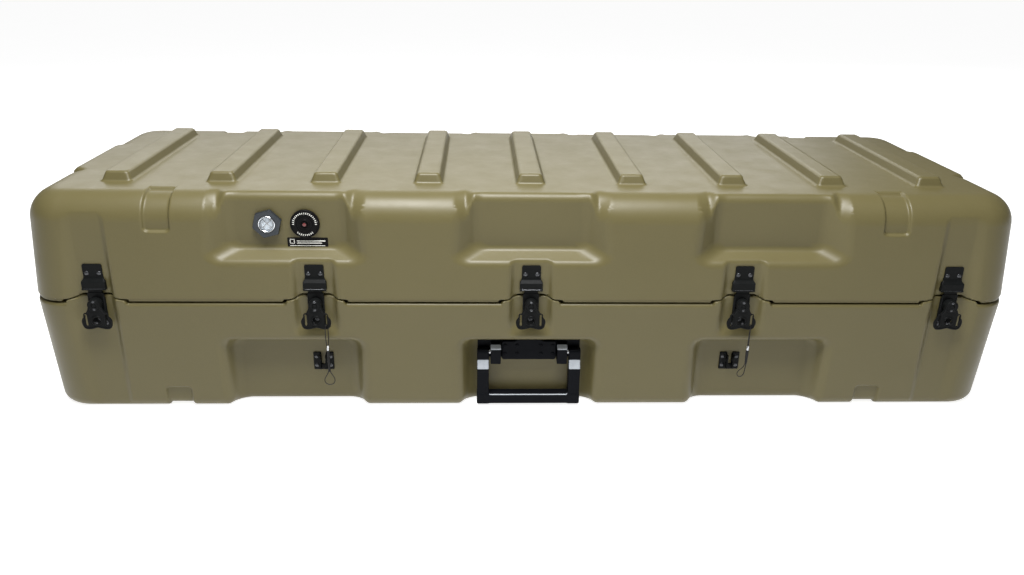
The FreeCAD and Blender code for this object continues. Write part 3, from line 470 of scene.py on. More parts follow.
chrome_material = finish("polished_ring", linear(205, 208, 212), 0.14, metallic=1.0, spread=0.05,
                         grain=(900.0, 0.04, 0.00005), rough_spread=0.05, patch=60.0)
wire_material = finish("coated_wire", linear(22, 22, 23), 0.4, spread=0.2,
                       grain=(2500.0, 0.4, 0.0002), patch=200.0, gloss=0.1)
ferrule_material = finish("crimped_aluminium", linear(190, 192, 194), 0.33, metallic=1.0,
                          spread=0.12, grain=(1500.0, 0.3, 0.0001), patch=150.0)
card_material = finish("indicator_card", linear(152, 165, 176), 0.6, spread=0.06, patch=120.0)

glass = Nodes("clear_window")
glass.shader.inputs["Base Color"].default_value = (0.93, 0.96, 0.98, 1)
glass.shader.inputs["Alpha"].default_value = 0.14
glass.link(glass.ramp(glass.noise(300.0), [(0.3, 0.02), (0.8, 0.07)]), glass.shader.inputs["Roughness"])
window_material = glass.material


# ---- the two shells
def ribs_field(x, y, z, foot_z, grow):
    """Nine tapered ribs across the case, standing on foot_z and larger all round by grow."""
    u = np.abs(folded(x, RIB_STEP, 4))
    t = (z - foot_z) / RIB_HEIGHT
    side = (u - (RIB_HALF + grow - 6 * t)) * 0.94
    end = (np.abs(y) - (RIB_END + grow - 7 * t)) * 0.92
    return meet(meet(side, end, 5.0), slab(z, foot_z - 20, foot_z + RIB_HEIGHT + grow), 3.5)


def neck_field(x, y, away):
    """The mouth of a cavity, which widens with the distance away from the rim."""
    wider = 0.825 * np.maximum(away - 12.0, 0)
    return meet(np.abs(x) - (771.5 + wider), np.abs(y) - (241.5 + wider), 30.0) * 0.85


def strap_field(x, y, body, beyond):
    """Shallow groove for a strap in the skin of body, where beyond is below zero."""
    band = np.maximum(slab(np.abs(x), *STRAP_X), 212.0 - np.abs(y))
    return meet(meet(band, beyond, 6.0), -(body + 4.6), 3.0)


def tab_height(u, ends):
    """How far the base's tab behind a latch stands above the rim."""
    return np.interp(np.abs(u), [22.4, 34.0, 45.5] + ends[0], [11.0, 6.3, 4.4] + ends[1])


def lid_coarse(x, y, z):
    """Outside of the lid without its small features, and its walls alone."""
    lean = LID_LEAN * (z - LID_BOTTOM)
    walls = meet(np.abs(x) - (HALF_LENGTH - lean), np.abs(y) - (HALF_WIDTH - lean), CORNER_R)
    depth = HALF_WIDTH - np.abs(y)
    u = np.abs(folded(x, POCKET_STEP, 1))
    side = (u - (LID_POCKET_HALF - 1.28 * depth)) * 0.616
    sill = (LID_POCKET_SILL + 0.53 * depth - z) * 0.883
    pocket = meet(meet(side, sill, 14.0), depth - POCKET_DEPTH, 5.0)
    walls = cut(walls, pocket, 5.5)
    end_depth = HALF_LENGTH - np.abs(x)
    end_side = (np.abs(y) - (END_POCKET_HALF - 0.46 * end_depth)) * 0.9
    end_sill = (LID_POCKET_SILL + 0.7 * end_depth - z) * 0.82
    walls = cut(walls, meet(meet(end_side, end_sill, 17.0), end_depth - 24.0, 5.0), 7.5)
    in_pocket = np.maximum(smooth((108.0 - u) / 18.0) * smooth((np.abs(y) - 150.0) / 30.0),
                           smooth((102.0 - np.abs(y)) / 18.0) * smooth((np.abs(x) - 690.0) / 30.0))
    body = meet(walls, z - LID_TOP, 44.0 - 31.0 * in_pocket)
    return join(body, ribs_field(x, y, z, LID_TOP, 0.0), 3.5), walls


def channels_field(x, y, z, upper):
    """Shallow upright channels: three for latches, the wider ones of the end latches, three for hinges."""
    front = HALF_WIDTH + y
    rear = HALF_WIDTH - y
    if upper:
        front_end, rear_end = [(z - (272.0 - 0.6 * v)) * 0.857 for v in (front, rear)]
        column_end = (z - (353.0 - front)) * 0.707
    else:
        front_end, rear_end = [(135.0 + 1.3 * v - z) * 0.61 for v in (front, rear)]
        column_end = np.full_like(front, -1e3)
    side = (np.abs(folded(x, LATCH_STEP, 1)) - (CHANNEL_HALF - 0.6 * front)) * 0.857
    latch = meet(meet(side, front_end, 6.0), front - CHANNEL_DEPTH, 4.0)
    inner = COLUMN_X[0] + 0.4 * front - np.abs(x)
    outer = (np.abs(x) - (COLUMN_X[1] - 1.5 * front)) * 0.555
    column = meet(meet(np.maximum(inner, outer), column_end, 8.0), front - CHANNEL_DEPTH, 5.0)
    hinge_side = (np.abs(folded(x, HINGE_STEP, 1)) - (HINGE_CHANNEL_HALF - 0.6 * rear)) * 0.857
    hinge = meet(meet(hinge_side, rear_end, 6.0), rear - CHANNEL_DEPTH, 4.0)
    return latch, column, hinge


def lid_field(x, y, z):
    """Outside of the lid: straps, channels, the step above the rim, and notches for the base's tabs."""
    coarse, walls = lid_coarse(x, y, z)
    latch, column, hinge = channels_field(x, y, z, True)
    body = cut(coarse, strap_field(x, y, coarse, LID_STRAP_Z - z), 3.2)
    body = cut(cut(cut(body, latch, 5.0), column, 4.0), hinge, 5.0)
    walls = np.maximum(np.maximum(walls, -latch), np.maximum(-column, -hinge))
    body = cut(body, meet(z - 199.6, -(walls + 1.5), 0.5), 1.2)
    body = meet(body, LID_BOTTOM - z, 1.4)
    u = folded(x, LATCH_STEP, 2)
    top = BASE_TOP + 1.4 + tab_height(u, ([51.0, 51.6], [4.2, -20.0]))
    return cut(body, np.maximum((z - top) * 0.9, y + 253.3), 0.8)


def lid_cavity(x, y, z):
    """Room in the lid, one wall's thickness inside its outside and its channels."""
    coarse, walls = lid_coarse(x, y, z)
    cavity = meet(coarse + WALL, neck_field(x, y, z - LID_BOTTOM), 8.0)
    for channel in channels_field(x, y, z, True):
        cavity = meet(cavity, WALL - channel, 4.0)
    return np.maximum(cavity, LID_BOTTOM - 4.0 - z)


def base_coarse(x, y, z):
    """Outside of the base without its small features, and its walls alone."""
    lean = BASE_LEAN * (BASE_TOP - z)
    walls = meet(np.abs(x) - (HALF_LENGTH - lean), np.abs(y) - (HALF_WIDTH - lean), CORNER_R)
    depth = HALF_WIDTH - np.abs(y)
    u = np.abs(folded(x, POCKET_STEP, 1))
    side = (u - (BASE_POCKET_HALF - 0.6 * depth)) * 0.857
    head = z - (BASE_POCKET_HEAD - 0.09 * depth)
    walls = cut(walls, meet(meet(side, head, 17.0), depth - POCKET_DEPTH, 9.0), 9.0)
    end_depth = HALF_LENGTH - np.abs(x)
    end_side = (np.abs(y) - (END_POCKET_HALF - 0.34 * end_depth)) * 0.945
    end_head = z - (BASE_POCKET_HEAD - 0.09 * end_depth)
    walls = cut(walls, meet(meet(end_side, end_head, 13.0), end_depth - POCKET_DEPTH, 9.0), 9.0)
    body = meet(walls, -z, 17.0)
    return cut(body, ribs_field(x, y, z, 0.0, 2.0), 4.0), walls


def base_field(x, y, z):
    """Outside of the base: straps, channels, and a tab behind each latch."""
    coarse, walls = base_coarse(x, y, z)
    latch, column, hinge = channels_field(x, y, z, False)
    body = cut(coarse, strap_field(x, y, coarse, z - BASE_STRAP_Z), 3.2)
    body = cut(cut(cut(body, latch, 6.0), column, 5.0), hinge, 6.0)
    walls = cut(cut(walls, latch, 4.0), column, 5.0)
    body = meet(body, z - BASE_TOP, 6.0)
    u = folded(x, LATCH_STEP, 2)
    top = BASE_TOP + tab_height(u, ([TAB_HALF], [-3.0]))
    tab = meet(meet(walls, (z - top) * 0.9, 1.2), np.maximum(y + 254.0, slab(z, 170.0, 210.0)), 0.8)
    return np.minimum(body, np.maximum(tab, np.abs(u) - TAB_HALF))


def base_cavity(x, y, z):
    """Room in the base, one wall's thickness inside its outside and its channels."""
    coarse, walls = base_coarse(x, y, z)
    cavity = meet(coarse + WALL, neck_field(x, y, BASE_TOP - z), 8.0)
    for channel in channels_field(x, y, z, False):
        cavity = meet(cavity, WALL - channel, 4.0)
    return np.maximum(cavity, z - BASE_TOP - 4.0)


def mirrored(*places):
    """Each place on both sides of the middle."""
    return [s * p for p in places for s in (-1, 1)]


def shell_grids(low, high, z_places, coarse, fine, z_sharp=()):
    """Grid lines for a shell, closer together at its edges and closest at its strap grooves."""
    places = [x + side for x in LATCH_PLACES for side in mirrored(25, 33, 48)]
    places += [POCKET_STEP * i + side for i in (-1, 0, 1) for side in mirrored(93, 113)]
    places += [RIB_STEP * i + side for i in range(-4, 5) for side in mirrored(21)]
    places += mirrored(*STRAP_X, 662, 712, 738, 776, 798)
    xs = lines(-804.0, 804.0, coarse, fine, places, 9.0, mirrored(*STRAP_X) if z_sharp else ())
    ys = lines(-274.0, 274.0, coarse, fine * 0.85, mirrored(95, 106, 178, 236, 258, 268), 9.0)
    zs = lines(low, high, coarse, fine * 0.6, z_places, 8.0, z_sharp)
    return xs, ys, zs


def hollow_shell(name, outer, cavity, z_range, z_places, z_sharp):
    """Outer solid less its cavity, each meshed alone, with normals from both fields together."""
    fine = 3.8
    z_low, z_high = z_range
    grids = shell_grids(z_low, z_high, z_places, 9.0, fine, z_sharp)
    shell = mesh_piece(name, *net(outer, *grids), [shell_material])
    grids = shell_grids(z_low - 6, z_high + 6, z_places, 14.0, 7.0)
    hole = mesh_piece(name + "_hole", *net(cavity, *grids), [shell_material])
    boolean = shell.modifiers.new("hollow", "BOOLEAN")
    boolean.operation = "DIFFERENCE"
    boolean.solver = "MANIFOLD"
    boolean.object = hole
    depsgraph = bpy.context.evaluated_depsgraph_get()
    mesh = bpy.data.meshes.new_from_object(shell.evaluated_get(depsgraph))
    shell.modifiers.clear()
    shell.data = mesh
    bpy.data.objects.remove(hole)
    places = np.zeros(len(mesh.vertices) * 3, np.float32)
    mesh.vertices.foreach_get("co", places)
    p = places.reshape(-1, 3).astype(float) / MM

    def both(x, y, z):
        return np.maximum(outer(x, y, z), -cavity(x, y, z))

    normals = unit_normals(both, p)
    mesh.polygons.foreach_set("use_smooth", np.ones(len(mesh.polygons), bool))
    mesh.normals_split_custom_set_from_vertices(normals.astype(np.float32))
    return shell


lid_shell = hollow_shell("lid_moulding", lid_field, lid_cavity, (191.0, 387.0),
                         [196, 200, 262, 275, 345, 362, 369, 382], [LID_STRAP_Z])
dress(lid_shell, "lid", "shell", "lid_shell")
base_shell = hollow_shell("base_moulding", base_field, base_cavity, (-3.0, 206.0),
                          [3, 14, 38, 122, 140, 190, 197, 202], [BASE_STRAP_Z])
dress(base_shell, "base", "shell", "base_shell")


# ---- painting and grid steps of small pieces
def painted(piece, chooser):
    """The piece with its second material on the faces whose middles, in millimetres, are chosen."""
    mesh = piece.data
    at = np.zeros(len(mesh.polygons) * 3, np.float32)
    mesh.polygons.foreach_get("center", at)
    p = at.reshape(-1, 3).astype(float) / MM
    mesh.polygons.foreach_set("material_index", chooser(*p.T).astype(np.int32))
    return piece


def grid_step(step):
    return step * 1.0


# ---- latches, all drawn at x = 0
PLATE_Y = (-262.0, -260.0)
LINK_Y = (-265.0, -262.6)
WING_Y = (-275.2, -273.4)
HUB_R = 10.2
POST_R = 4.0
LINK_TRAVEL = 9.0
WING_RIVET = 6.5
WING_SLOT_X, WING_SLOT_Z = 16.0, (-33.5, -17.1)
ROLL_Y, ROLL_Z, ROLL_R = -267.0, 215.4, 1.8
WING_SIDE = curve_through([(9.4, 1.5), (12.0, -8.0), (17.5, -17.0), (23.0, -25.0), (23.6, -32.0),
                           (20.5, -39.5), (13.0, -41.6), (0.0, -38.6)], 4)
WING_CROWN = [(-HUB_R * math.cos(a), HUB_R * math.sin(a)) for a in np.linspace(0.35, math.pi - 0.35, 9)]
WING_EDGE = WING_SIDE + [(-u, w) for u, w in reversed(WING_SIDE[:-1])] + WING_CROWN


def wing_field(x, y, z):
    w = z - HUB_Z
    edge = outline(x, w, WING_EDGE)
    slot = np.hypot(np.abs(x) - WING_SLOT_X, w - np.clip(w, *WING_SLOT_Z)) - 1.6
    hole = np.hypot(x, w + 26.8) - 6.0
    hub = np.hypot(x, w)
    body = meet(edge, slab(y, *WING_Y), 0.5)
    body = join(body, np.hypot(edge + 1.5, y + 274.7) - 1.4, 0.8)
    body = join(body, np.hypot(slot - 1.3, y + 275.1) - 1.0, 0.5)
    body = join(body, np.hypot(hole - 1.6, y + 275.1) - 1.3, 0.6)
    body = join(body, meet(hub - HUB_R, slab(y, -277.8, -265.6), 0.9), 0.2)
    body = cut(body, meet(np.abs(hub - 8.3) - 0.3, y + 277.3, 0.1), 0.2)
    for rivet_w in (-WING_RIVET, WING_RIVET):
        body = np.minimum(body, np.hypot(np.hypot(x, w - rivet_w), y + 276.2) - 2.1)
    for hollow in (slot, hole, hub - POST_R - 0.1):
        body = cut(body, hollow, 0.4)
    return body


def wing_rivets(x, y, z):
    return (np.hypot(x, np.abs(z - HUB_Z) - WING_RIVET) < 2.0) & (y < -277.5)


def link_field(x, y, z):
    body = meet(meet(np.abs(x) - 13.0, slab(z, 174.0, 209.0), 2.0), slab(y, *LINK_Y), 0.5)
    tongue = meet(np.abs(x) - 11.0, meet(slab(z, 200.0, 216.0), slab(y, -264.6, -262.6), 0.6), 0.8)
    body = join(body, tongue, 1.0)
    bead = np.hypot(np.abs(x) - 11.2, y + 264.9) - 0.7
    body = join(body, meet(bead, slab(z, 177.0, 202.5), 0.6), 0.4)
    return cut(body, np.hypot(x, z - np.clip(z, HUB_Z - LINK_TRAVEL, HUB_Z)) - 4.5, 0.5)


def latch_plate_field(x, y, z):
    plate = meet(meet(np.abs(x) - 13.0, slab(z, 150.5, 203.0), 3.0), slab(y, *PLATE_Y), 0.5)
    post = meet(np.hypot(x, z - HUB_Z) - POST_R, slab(y, -277.3, -260.5), 1.2)
    return join(plate, post, 0.5)


def keeper_field(x, y, z):
    """Plate, hood open below, and the roll across the hood's lower front edge."""
    u = np.abs(x)
    plate = meet(meet(u - 15.2, slab(z, 224.0, 255.8), 3.0), slab(y, *PLATE_Y), 0.5)
    side = u - np.interp(z, [228.0, 232.5], [18.4, 15.2])
    front = np.interp(z, [226.5, 233.0], [-267.6, -262.0]) - y
    hood = meet(meet(side, slab(z, 213.8, 234.0), 0.8), np.maximum(front * 0.8, y + 260.0), 0.9)
    body = join(plate, hood, 1.5)
    mouth = meet(u - 16.4, np.maximum(z - 227.0, -265.6 - y), 0.6)
    body = cut(body, mouth, 0.5)
    roll = meet(np.hypot(y - ROLL_Y, z - ROLL_Z) - ROLL_R, u - 18.4, 0.5)
    return join(body, roll, 0.4)


def keeper_pin(x, y, z):
    """Painted highlight: the rivet colour on the upper half of the roll's front, where light catches it."""
    near = np.hypot(y - ROLL_Y, z - ROLL_Z) < ROLL_R + 0.3
    return near & (y < ROLL_Y - 1.0) & (z > ROLL_Z + 0.2) & (np.abs(x) < 15.0)


BLACK_RIVET_AND_HIGHLIGHT = [black_material, rivet_and_highlight_material]
wing = painted(field_piece("wing_1", wing_field, [(-26, 26), (-279.5, -264), (147.5, 203)],
                           grid_step(0.75), BLACK_RIVET_AND_HIGHLIGHT), wing_rivets)
link = field_piece("link_1", link_field, [(-14.5, 14.5), (-267, -261.5), (172.5, 217.5)], grid_step(0.7),
                   [black_material])
latch_plate = field_piece("back_plate_1", latch_plate_field, [(-14.5, 14.5), (-279, -259), (149, 204.5)],
                          grid_step(0.7), [black_material])
# The roll's lit upper front is a painted highlight in the rivet colour.
keeper = painted(field_piece("catch_1", keeper_field, [(-20, 20), (-270.5, -259), (212, 257.5)],
                             grid_step(0.7), BLACK_RIVET_AND_HIGHLIGHT), keeper_pin)
for number, place in enumerate(LATCH_PLACES, 1):
    for first, body, node in ((wing, "wing_%d" % number, "latch_wing_%d"),
                              (link, "link_%d" % number, "latch_link_%d"),
                              (latch_plate, "base", "latch_plate_%d"), (keeper, "lid", "keeper_%d")):
        if number == 1:
            piece = first
            piece.location = (place * MM, 0.0, 0.0)
        else:
            piece = twin(first, first.name[:-1] + str(number), place)
        dress(piece, body, "black_steel", node % number)


# ---- handles, all drawn on the front
# u runs to both sides of the handle's middle, and v from the rim's plane into the case
ARM_U, BLOCK_U = (67.0, 86.6), (47.0, 64.0)
GRIP_V, GRIP_Z = (9.0, 29.0), (5.0, 23.0)
RAMP_V, RAMP_Z = (9.0, 15.0), (70.0, 85.0)
BLOCK_V, BLOCK_Z = 13.0, (78.0, 105.0, 112.6)
PIN_V, PIN_Z = 22.0, middle("handle_pins")[2]


def pin_bore(v, z):
    return np.hypot(v - PIN_V, z - PIN_Z) - 4.1


def bail_field(x, y, z):
    u, v = np.abs(x), y + HALF_WIDTH
    front = np.interp(z, RAMP_Z, RAMP_V)
    arm = meet(meet(slab(u, *ARM_U), np.maximum((front - v) * 0.93, v - GRIP_V[1]), 1.8),
               slab(z, GRIP_Z[0], PIN_Z), 1.8)
    eye = meet(np.hypot(v - PIN_V, z - PIN_Z) - 7.0, slab(u, *ARM_U), 1.5)
    grip = meet(meet(slab(z, *GRIP_Z), slab(v, *GRIP_V), 1.8), u - ARM_U[1], 2.0)
    body = join(join(arm, eye, 0.8), grip, 2.5)
    return cut(body, np.maximum(pin_bore(v, z), u - (ARM_U[1] - 2.5)), 0.3)


def bail_ramps(x, y, z):
    """Painted highlight on the arms' ramps and along the grip's top front edge, where light catches them.
    """
    v = y + HALF_WIDTH
    ramp = (z > RAMP_Z[0] + 0.5) & (z < RAMP_Z[1] - 0.4) & (v < np.interp(z, RAMP_Z, RAMP_V) + 0.8)
    edge = (z > GRIP_Z[1] - 1.4) & (z < GRIP_Z[1] + 0.5) & (v < GRIP_V[0] + 1.6)
    return ramp | (edge & (np.abs(x) < ARM_U[0] - 1.0))


def handle_plate_field(x, y, z):
    """Back plate with a pad for the grip to rest on, and two blocks with sloping tops for the pins."""
    u, v = np.abs(x), y + HALF_WIDTH
    rise = 4.0 * smooth((25.0 - u) / 7.0)
    plate = meet(meet(u - 86.0, np.maximum(84.0 - z, z - 119.0 - rise), 3.0),
                 slab(v, 29.5, POCKET_DEPTH), 0.6)
    rest = meet(meet(u - 45.5, np.maximum(83.0 - z, z - 117.0 - rise), 4.0),
                slab(v, 20.0, POCKET_DEPTH), 1.6)
    block_top = ((z - BLOCK_Z[1]) * 11.0 - (v - BLOCK_V) * 7.6) / 13.4
    block_side = np.maximum(slab(v, BLOCK_V, POCKET_DEPTH), slab(z, BLOCK_Z[0], BLOCK_Z[2]))
    blocks = meet(meet(slab(u, *BLOCK_U), block_side, 1.2), block_top, 1.2)
    body = join(join(plate, rest, 1.0), blocks, 0.8)
    return cut(body, np.maximum(pin_bore(v, z), BLOCK_U[0] - 1.0 - u), 0.3)


def block_tops(x, y, z):
    # Painted highlight on the front of the blocks' sloping tops; it stops where the pocket's head would
    # shade them.
    near_block = slab(np.abs(x), *BLOCK_U) < 0.5
    return near_block & (z > BLOCK_Z[1] - 0.4) & (y + HALF_WIDTH < BLOCK_V + 7.5)


# The handles' second material is the painted highlight grey.
HANDLE_AND_HIGHLIGHT = [handle_material, highlight_grey_material]
# The grey on the grip is painted highlight on its ramps and top front edge.
bail = painted(field_piece("grip_front", bail_field, [(-89, 89), (-263.5, -238.5), (2, 107)],
                           grid_step(1.35), HANDLE_AND_HIGHLIGHT), bail_ramps)
# The grey on the rest's blocks is painted highlight.
handle_plate = painted(field_piece("rest_front", handle_plate_field,
                                   [(-88.5, 88.5), (-259.5, -236.5), (75.5, 125.5)], grid_step(1.2),
                                   HANDLE_AND_HIGHLIGHT), block_tops)
for wall, side in (("front", 0), ("left", -1), ("right", 1)):
    for first, stem, body, node in ((bail, "grip_", "bail_" + wall, "handle_bail_" + wall),
                                    (handle_plate, "rest_", "base", "handle_plate_" + wall)):
        piece = first
        if side:
            piece = twin(first, stem + wall, side * (HALF_LENGTH - HALF_WIDTH))
            piece.rotation_euler = (0.0, 0.0, side * math.pi / 2)
        dress(piece, body, "handle", node)


# ---- padlock brackets and rear hinges
BRACKET_X = middle("lock_bracket_right")[0]
POCKET_Y = POCKET_DEPTH - HALF_WIDTH
HINGE_Y, HINGE_Z = middle("hinge_pins")[1:]


def bracket_field(x, y, z):
    """Two flanges on the pocket's wall, each with a drilled fin, and a web that joins them below."""
    u = np.abs(x)
    flat = slab(y, POCKET_Y - 2.0, POCKET_Y)
    flange = meet(meet(slab(u, 4.0, 16.8), slab(z, 60.0, 92.0), 1.8), flat, 0.5)
    fin = meet(meet(slab(y, POCKET_Y - 11.0, POCKET_Y), slab(z, 63.0, 89.0), 3.5), slab(u, 4.0, 6.0), 0.5)
    web = meet(meet(u - 5.0, slab(z, 60.0, 70.0), 0.8), flat, 0.5)
    body = join(join(flange, fin, 1.6), web, 0.6)
    return cut(body, np.hypot(y + 244.0, z - 76.0) - 3.5, 0.4)


bracket = field_piece("staple_left", bracket_field, [(-18.5, 18.5), (-250.5, -236.5), (58.5, 93.5)],
                      grid_step(0.7), [black_material])
other_bracket = twin(bracket, "staple_right", BRACKET_X)
bracket.location = (-BRACKET_X * MM, 0.0, 0.0)
dress(bracket, "base", "black_steel", "lock_bracket_left")
dress(other_bracket, "base", "black_steel", "lock_bracket_right")


def leaf_field(up):
    """One leaf: a plate, and knuckles round the pin joined to it by arms; up is 1 or -1."""
    def field(x, y, z):
        u = np.abs(x)
        t = up * (z - HINGE_Z)
        from_pin = np.hypot(y - HINGE_Y, t)
        knuckle = u - 9.5 if up > 0 else slab(u, 10.0, 28.0)
        plate = meet(meet(u - 30.0, slab(t, 7.0, 43.0), 4.0), slab(y, 260.0, 262.5), 0.6)
        roll = meet(from_pin - 5.0, knuckle, 0.6)
        arm = meet(meet(slab(y, 260.5, 273.5), slab(t, 1.0, 12.0), 1.0), knuckle, 0.6)
        return cut(join(join(plate, arm, 2.0), roll, 0.8), from_pin - 2.6, 0.3)
    return field


for body, up, z_range in (("base", -1, (149.0, 200.5)), ("lid", 1, (187.0, 238.5))):
    leaf = field_piece("strap_%s_middle" % body, leaf_field(up),
                       [(-31.5, 31.5), (259.0, 278.0), z_range], grid_step(0.8), [black_material])
    for name, place in zip(("left", "middle", "right"), HINGE_PLACES):
        piece = leaf if name == "middle" else twin(leaf, "strap_%s_%s" % (body, name), place)
        dress(piece, body, "black_steel", "hinge_%s_leaf_%s" % (body, name))


# ---- rivets
RIVET = [(0.001, -1.15), (1.1, -1.15), (1.25, -1.5), (2.0, -1.25), (2.9, -0.7), (3.45, -0.25),
         (3.6, 0.0), (1.95, 0.05), (1.95, 7.5), (0.001, 7.6)]


def on_wall(wall, u, v, z):
    """Point and inward direction for a place u along one of the four walls and v into it."""
    if wall == "front":
        return (u, v - HALF_WIDTH, z), (0, 1, 0)
    if wall == "rear":
        return (-u, HALF_WIDTH - v, z), (0, -1, 0)
    if wall == "left":
        return (v - HALF_LENGTH, -u, z), (1, 0, 0)
    return (HALF_LENGTH - v, u, z), (-1, 0, 0)


base_rivets = [on_wall("front", x + u, 8.0, HUB_Z + w) for x in LATCH_PLACES
               for u, w in ((0.0, -28.5), (-8.5, -36.0), (8.5, -36.0))]
base_rivets += [on_wall("front", x + u, 30.0, z) for x in (-BRACKET_X, BRACKET_X)
                for u in (-11.5, 11.5) for z in (68.0, 84.0)]
base_rivets += [on_wall(wall, u, 20.0, z) for wall in ("front", "left", "right")
                for u in (-40.0, -20.0, 20.0, 40.0) for z in (94.0, 109.0)]
base_rivets += [on_wall("rear", x + u, 7.5, 186.75 - d) for x in HINGE_PLACES
                for u in (-18.0, 18.0) for d in (12.0, 28.0)]
lid_rivets = [on_wall("front", x + u, 8.0, 240.5) for x in LATCH_PLACES for u in (-9.6, 9.6)]
lid_rivets += [on_wall("rear", x + u, 7.5, 200.75 + d) for x in HINGE_PLACES
               for u in (-18.0, 18.0) for d in (12.0, 28.0)]


def beside_handles(x, y, z):
    """The rivets of the handles' plates are as black as the plates."""
    return (z > 89.0) & (z < 114.0)


for name, places, body in (("base_rivet_heads", base_rivets, "base"),
                           ("lid_rivet_heads", lid_rivets, "lid")):
    heads = [(rounded_profile(RIVET, 0.3, 2), at, inward) for at, inward in places]
    rivets = lathe_piece(name, heads, [rivet_and_highlight_material, handle_material], 20)
    painted(rivets, beside_handles)
    dress(rivets, body, "rivet", body + "_rivets")


# ---- pressure valve, plug and label
VALVE_X, PORT_Z = middle("valve_body")[::2]
PLUG_X = middle("humidity_plug")[0]
LABEL_X, LABEL_Z = middle("label_plate")[::2]
BACK = (0.0, 1.0, 0.0)
TICKS = 36


def round_box(x, z, reach, y_range):
    """Box round a place on the front wall, for meshing."""
    return [(x - reach, x + reach), y_range, (z - reach, z + reach)]


def valve_field(x, y, z):
    """Flange with two fine grooves, a raised ring and a rim of ticks, and the tube through the wall."""
    r = np.hypot(x - VALVE_X, z - PORT_Z)
    a = np.arctan2(z - PORT_Z, x - VALVE_X)
    body = meet(r - 23.0, slab(y, -244.0, POCKET_Y), 1.2)
    body = cut(body, meet(np.abs(r - 20.8) - 0.35, y + 243.5, 0.1), 0.2)
    body = cut(body, meet(np.abs(r - 12.6) - 0.5, y + 243.3, 0.1), 0.2)
    body = join(body, meet(np.abs(r - 6.6) - 1.2, slab(y, -245.2, -243.0), 0.4), 0.3)
    pitch = 2 * math.pi / TICKS
    turn = np.abs((a / pitch + 0.5) % 1.0 - 0.5) * pitch * r
    marked = (np.sin(a) > -0.1) | (np.sin(a) < -0.72)
    tick = meet(meet(np.abs(r - 17.9) - np.where(marked, 1.5, -1.0), turn - 0.6, 0.1),
                slab(y, -244.25, -243.0), 0.1)
    body = np.minimum(body, tick)
    tube = meet(r - 11.0, slab(y, -239.0, -224.0), 0.6)
    return cut(np.minimum(body, tube), meet(r - 4.28, y + 233.5, 0.1), 0.3)


def valve_marks(x, y, z):
    r = np.hypot(x - VALVE_X, z - PORT_Z)
    return (r > 14.4) & (r < 19.9) & (y < -244.08)


def plug_field(x, y, z):
    """Hexagonal head with turned corners, and the tube through the wall."""
    u, w = x - PLUG_X, z - PORT_Z
    r = np.hypot(u, w)
    flats = np.full_like(r, -1e3)
    for i in range(6):
        a = math.radians(60 * i + 45)
        flats = np.maximum(flats, u * math.cos(a) + w * math.sin(a))
    head = meet(flats - 47.4 / 2 * math.cos(math.pi / 6), slab(y, -245.0, POCKET_Y), 0.7)
    head = meet(head, (r - 22.6 - (y + 245.0) * 1.6) * 0.5, 0.4)
    tube = meet(r - 11.0, slab(y, -239.0, -224.0), 0.6)
    return cut(np.minimum(head, tube), np.maximum(r - 13.5, y + 240.5), 0.3)


def label_field(x, y, z):
    u, w = x - LABEL_X, z - LABEL_Z
    plate = meet(meet(np.abs(u) - 32.0, np.abs(w) - 8.4, 1.5), slab(y, -238.8, POCKET_Y), 0.25)
    bars = np.maximum(np.abs(w - 2.8) - 0.9, slab(u, -17.0, 28.0))
    bars = np.minimum(bars, np.maximum(np.abs(w + 0.9) - 0.9, slab(u, -17.0, 22.0)))
    bars = np.minimum(bars, np.maximum(np.abs(w + 5.2) - 0.55, slab(u, -28.0, 27.0)))
    square = np.abs(np.maximum(np.abs(u + 24.2), np.abs(w - 2.0)) - 3.2) - 0.5
    bars = np.minimum(bars, square)
    return np.minimum(plate, meet(bars, slab(y, -239.05, -238.5), 0.1))


def card_field(x, y, z):
    u, w = x - PLUG_X, z - PORT_Z
    r = np.hypot(u, w)
    disc = meet(r - 13.4, slab(y, -241.3, -240.55), 0.2)
    cross = np.minimum(np.abs(u + w), np.abs(u - w)) * 0.707 - 0.7
    ring = np.abs(r - 9.6) - 0.5
    printed = np.maximum(np.minimum(cross, ring), r - 10.1)
    return np.minimum(disc, meet(printed, slab(y, -241.5, -241.0), 0.1))


valve = field_piece("valve_dial", valve_field, round_box(VALVE_X, PORT_Z, 24.5, (-246.5, -222.5)),
                    grid_step(0.62), [valve_material, mark_material])
painted(valve, valve_marks)
dress(valve, "lid", "valve", "valve_body")
knob_side = rounded_profile([(0.001, -8.6), (2.6, -8.5), (4.2, -7.9), (4.2, 1.0), (0.001, 1.0)], 0.6)
button = lathe_piece("valve_knob", [(knob_side, (VALVE_X, POCKET_Y, PORT_Z), BACK)],
                     [valve_material, button_material], 32)
painted(button, lambda x, y, z: (np.hypot(x - VALVE_X, z - PORT_Z) < 2.6) & (y < POCKET_Y - 8.2))
dress(button, "button", "button", "valve_button")
plug = field_piece("plug_nut", plug_field, round_box(PLUG_X, PORT_Z, 25.0, (-247.0, -222.5)),
                   grid_step(0.75), [plug_material])
dress(plug, "lid", "plug", "humidity_plug")
ring_side = rounded_profile([(11.3, -5.0), (11.3, -7.4), (12.2, -8.4), (13.3, -7.6), (13.4, -5.0),
                             (11.3, -5.0)], 0.5)
bezel = lathe_piece("plug_ring", [(ring_side, (PLUG_X, POCKET_Y, PORT_Z), BACK)], [chrome_material], 64)
dress(bezel, "lid", "bezel", "humidity_bezel")
card = field_piece("plug_card", card_field, round_box(PLUG_X, PORT_Z, 14.5, (-242.4, -239.8)),
                   grid_step(0.5), [card_material, plug_material])
painted(card, lambda x, y, z: y < -241.38)
dress(card, "lid", "card", "humidity_card")
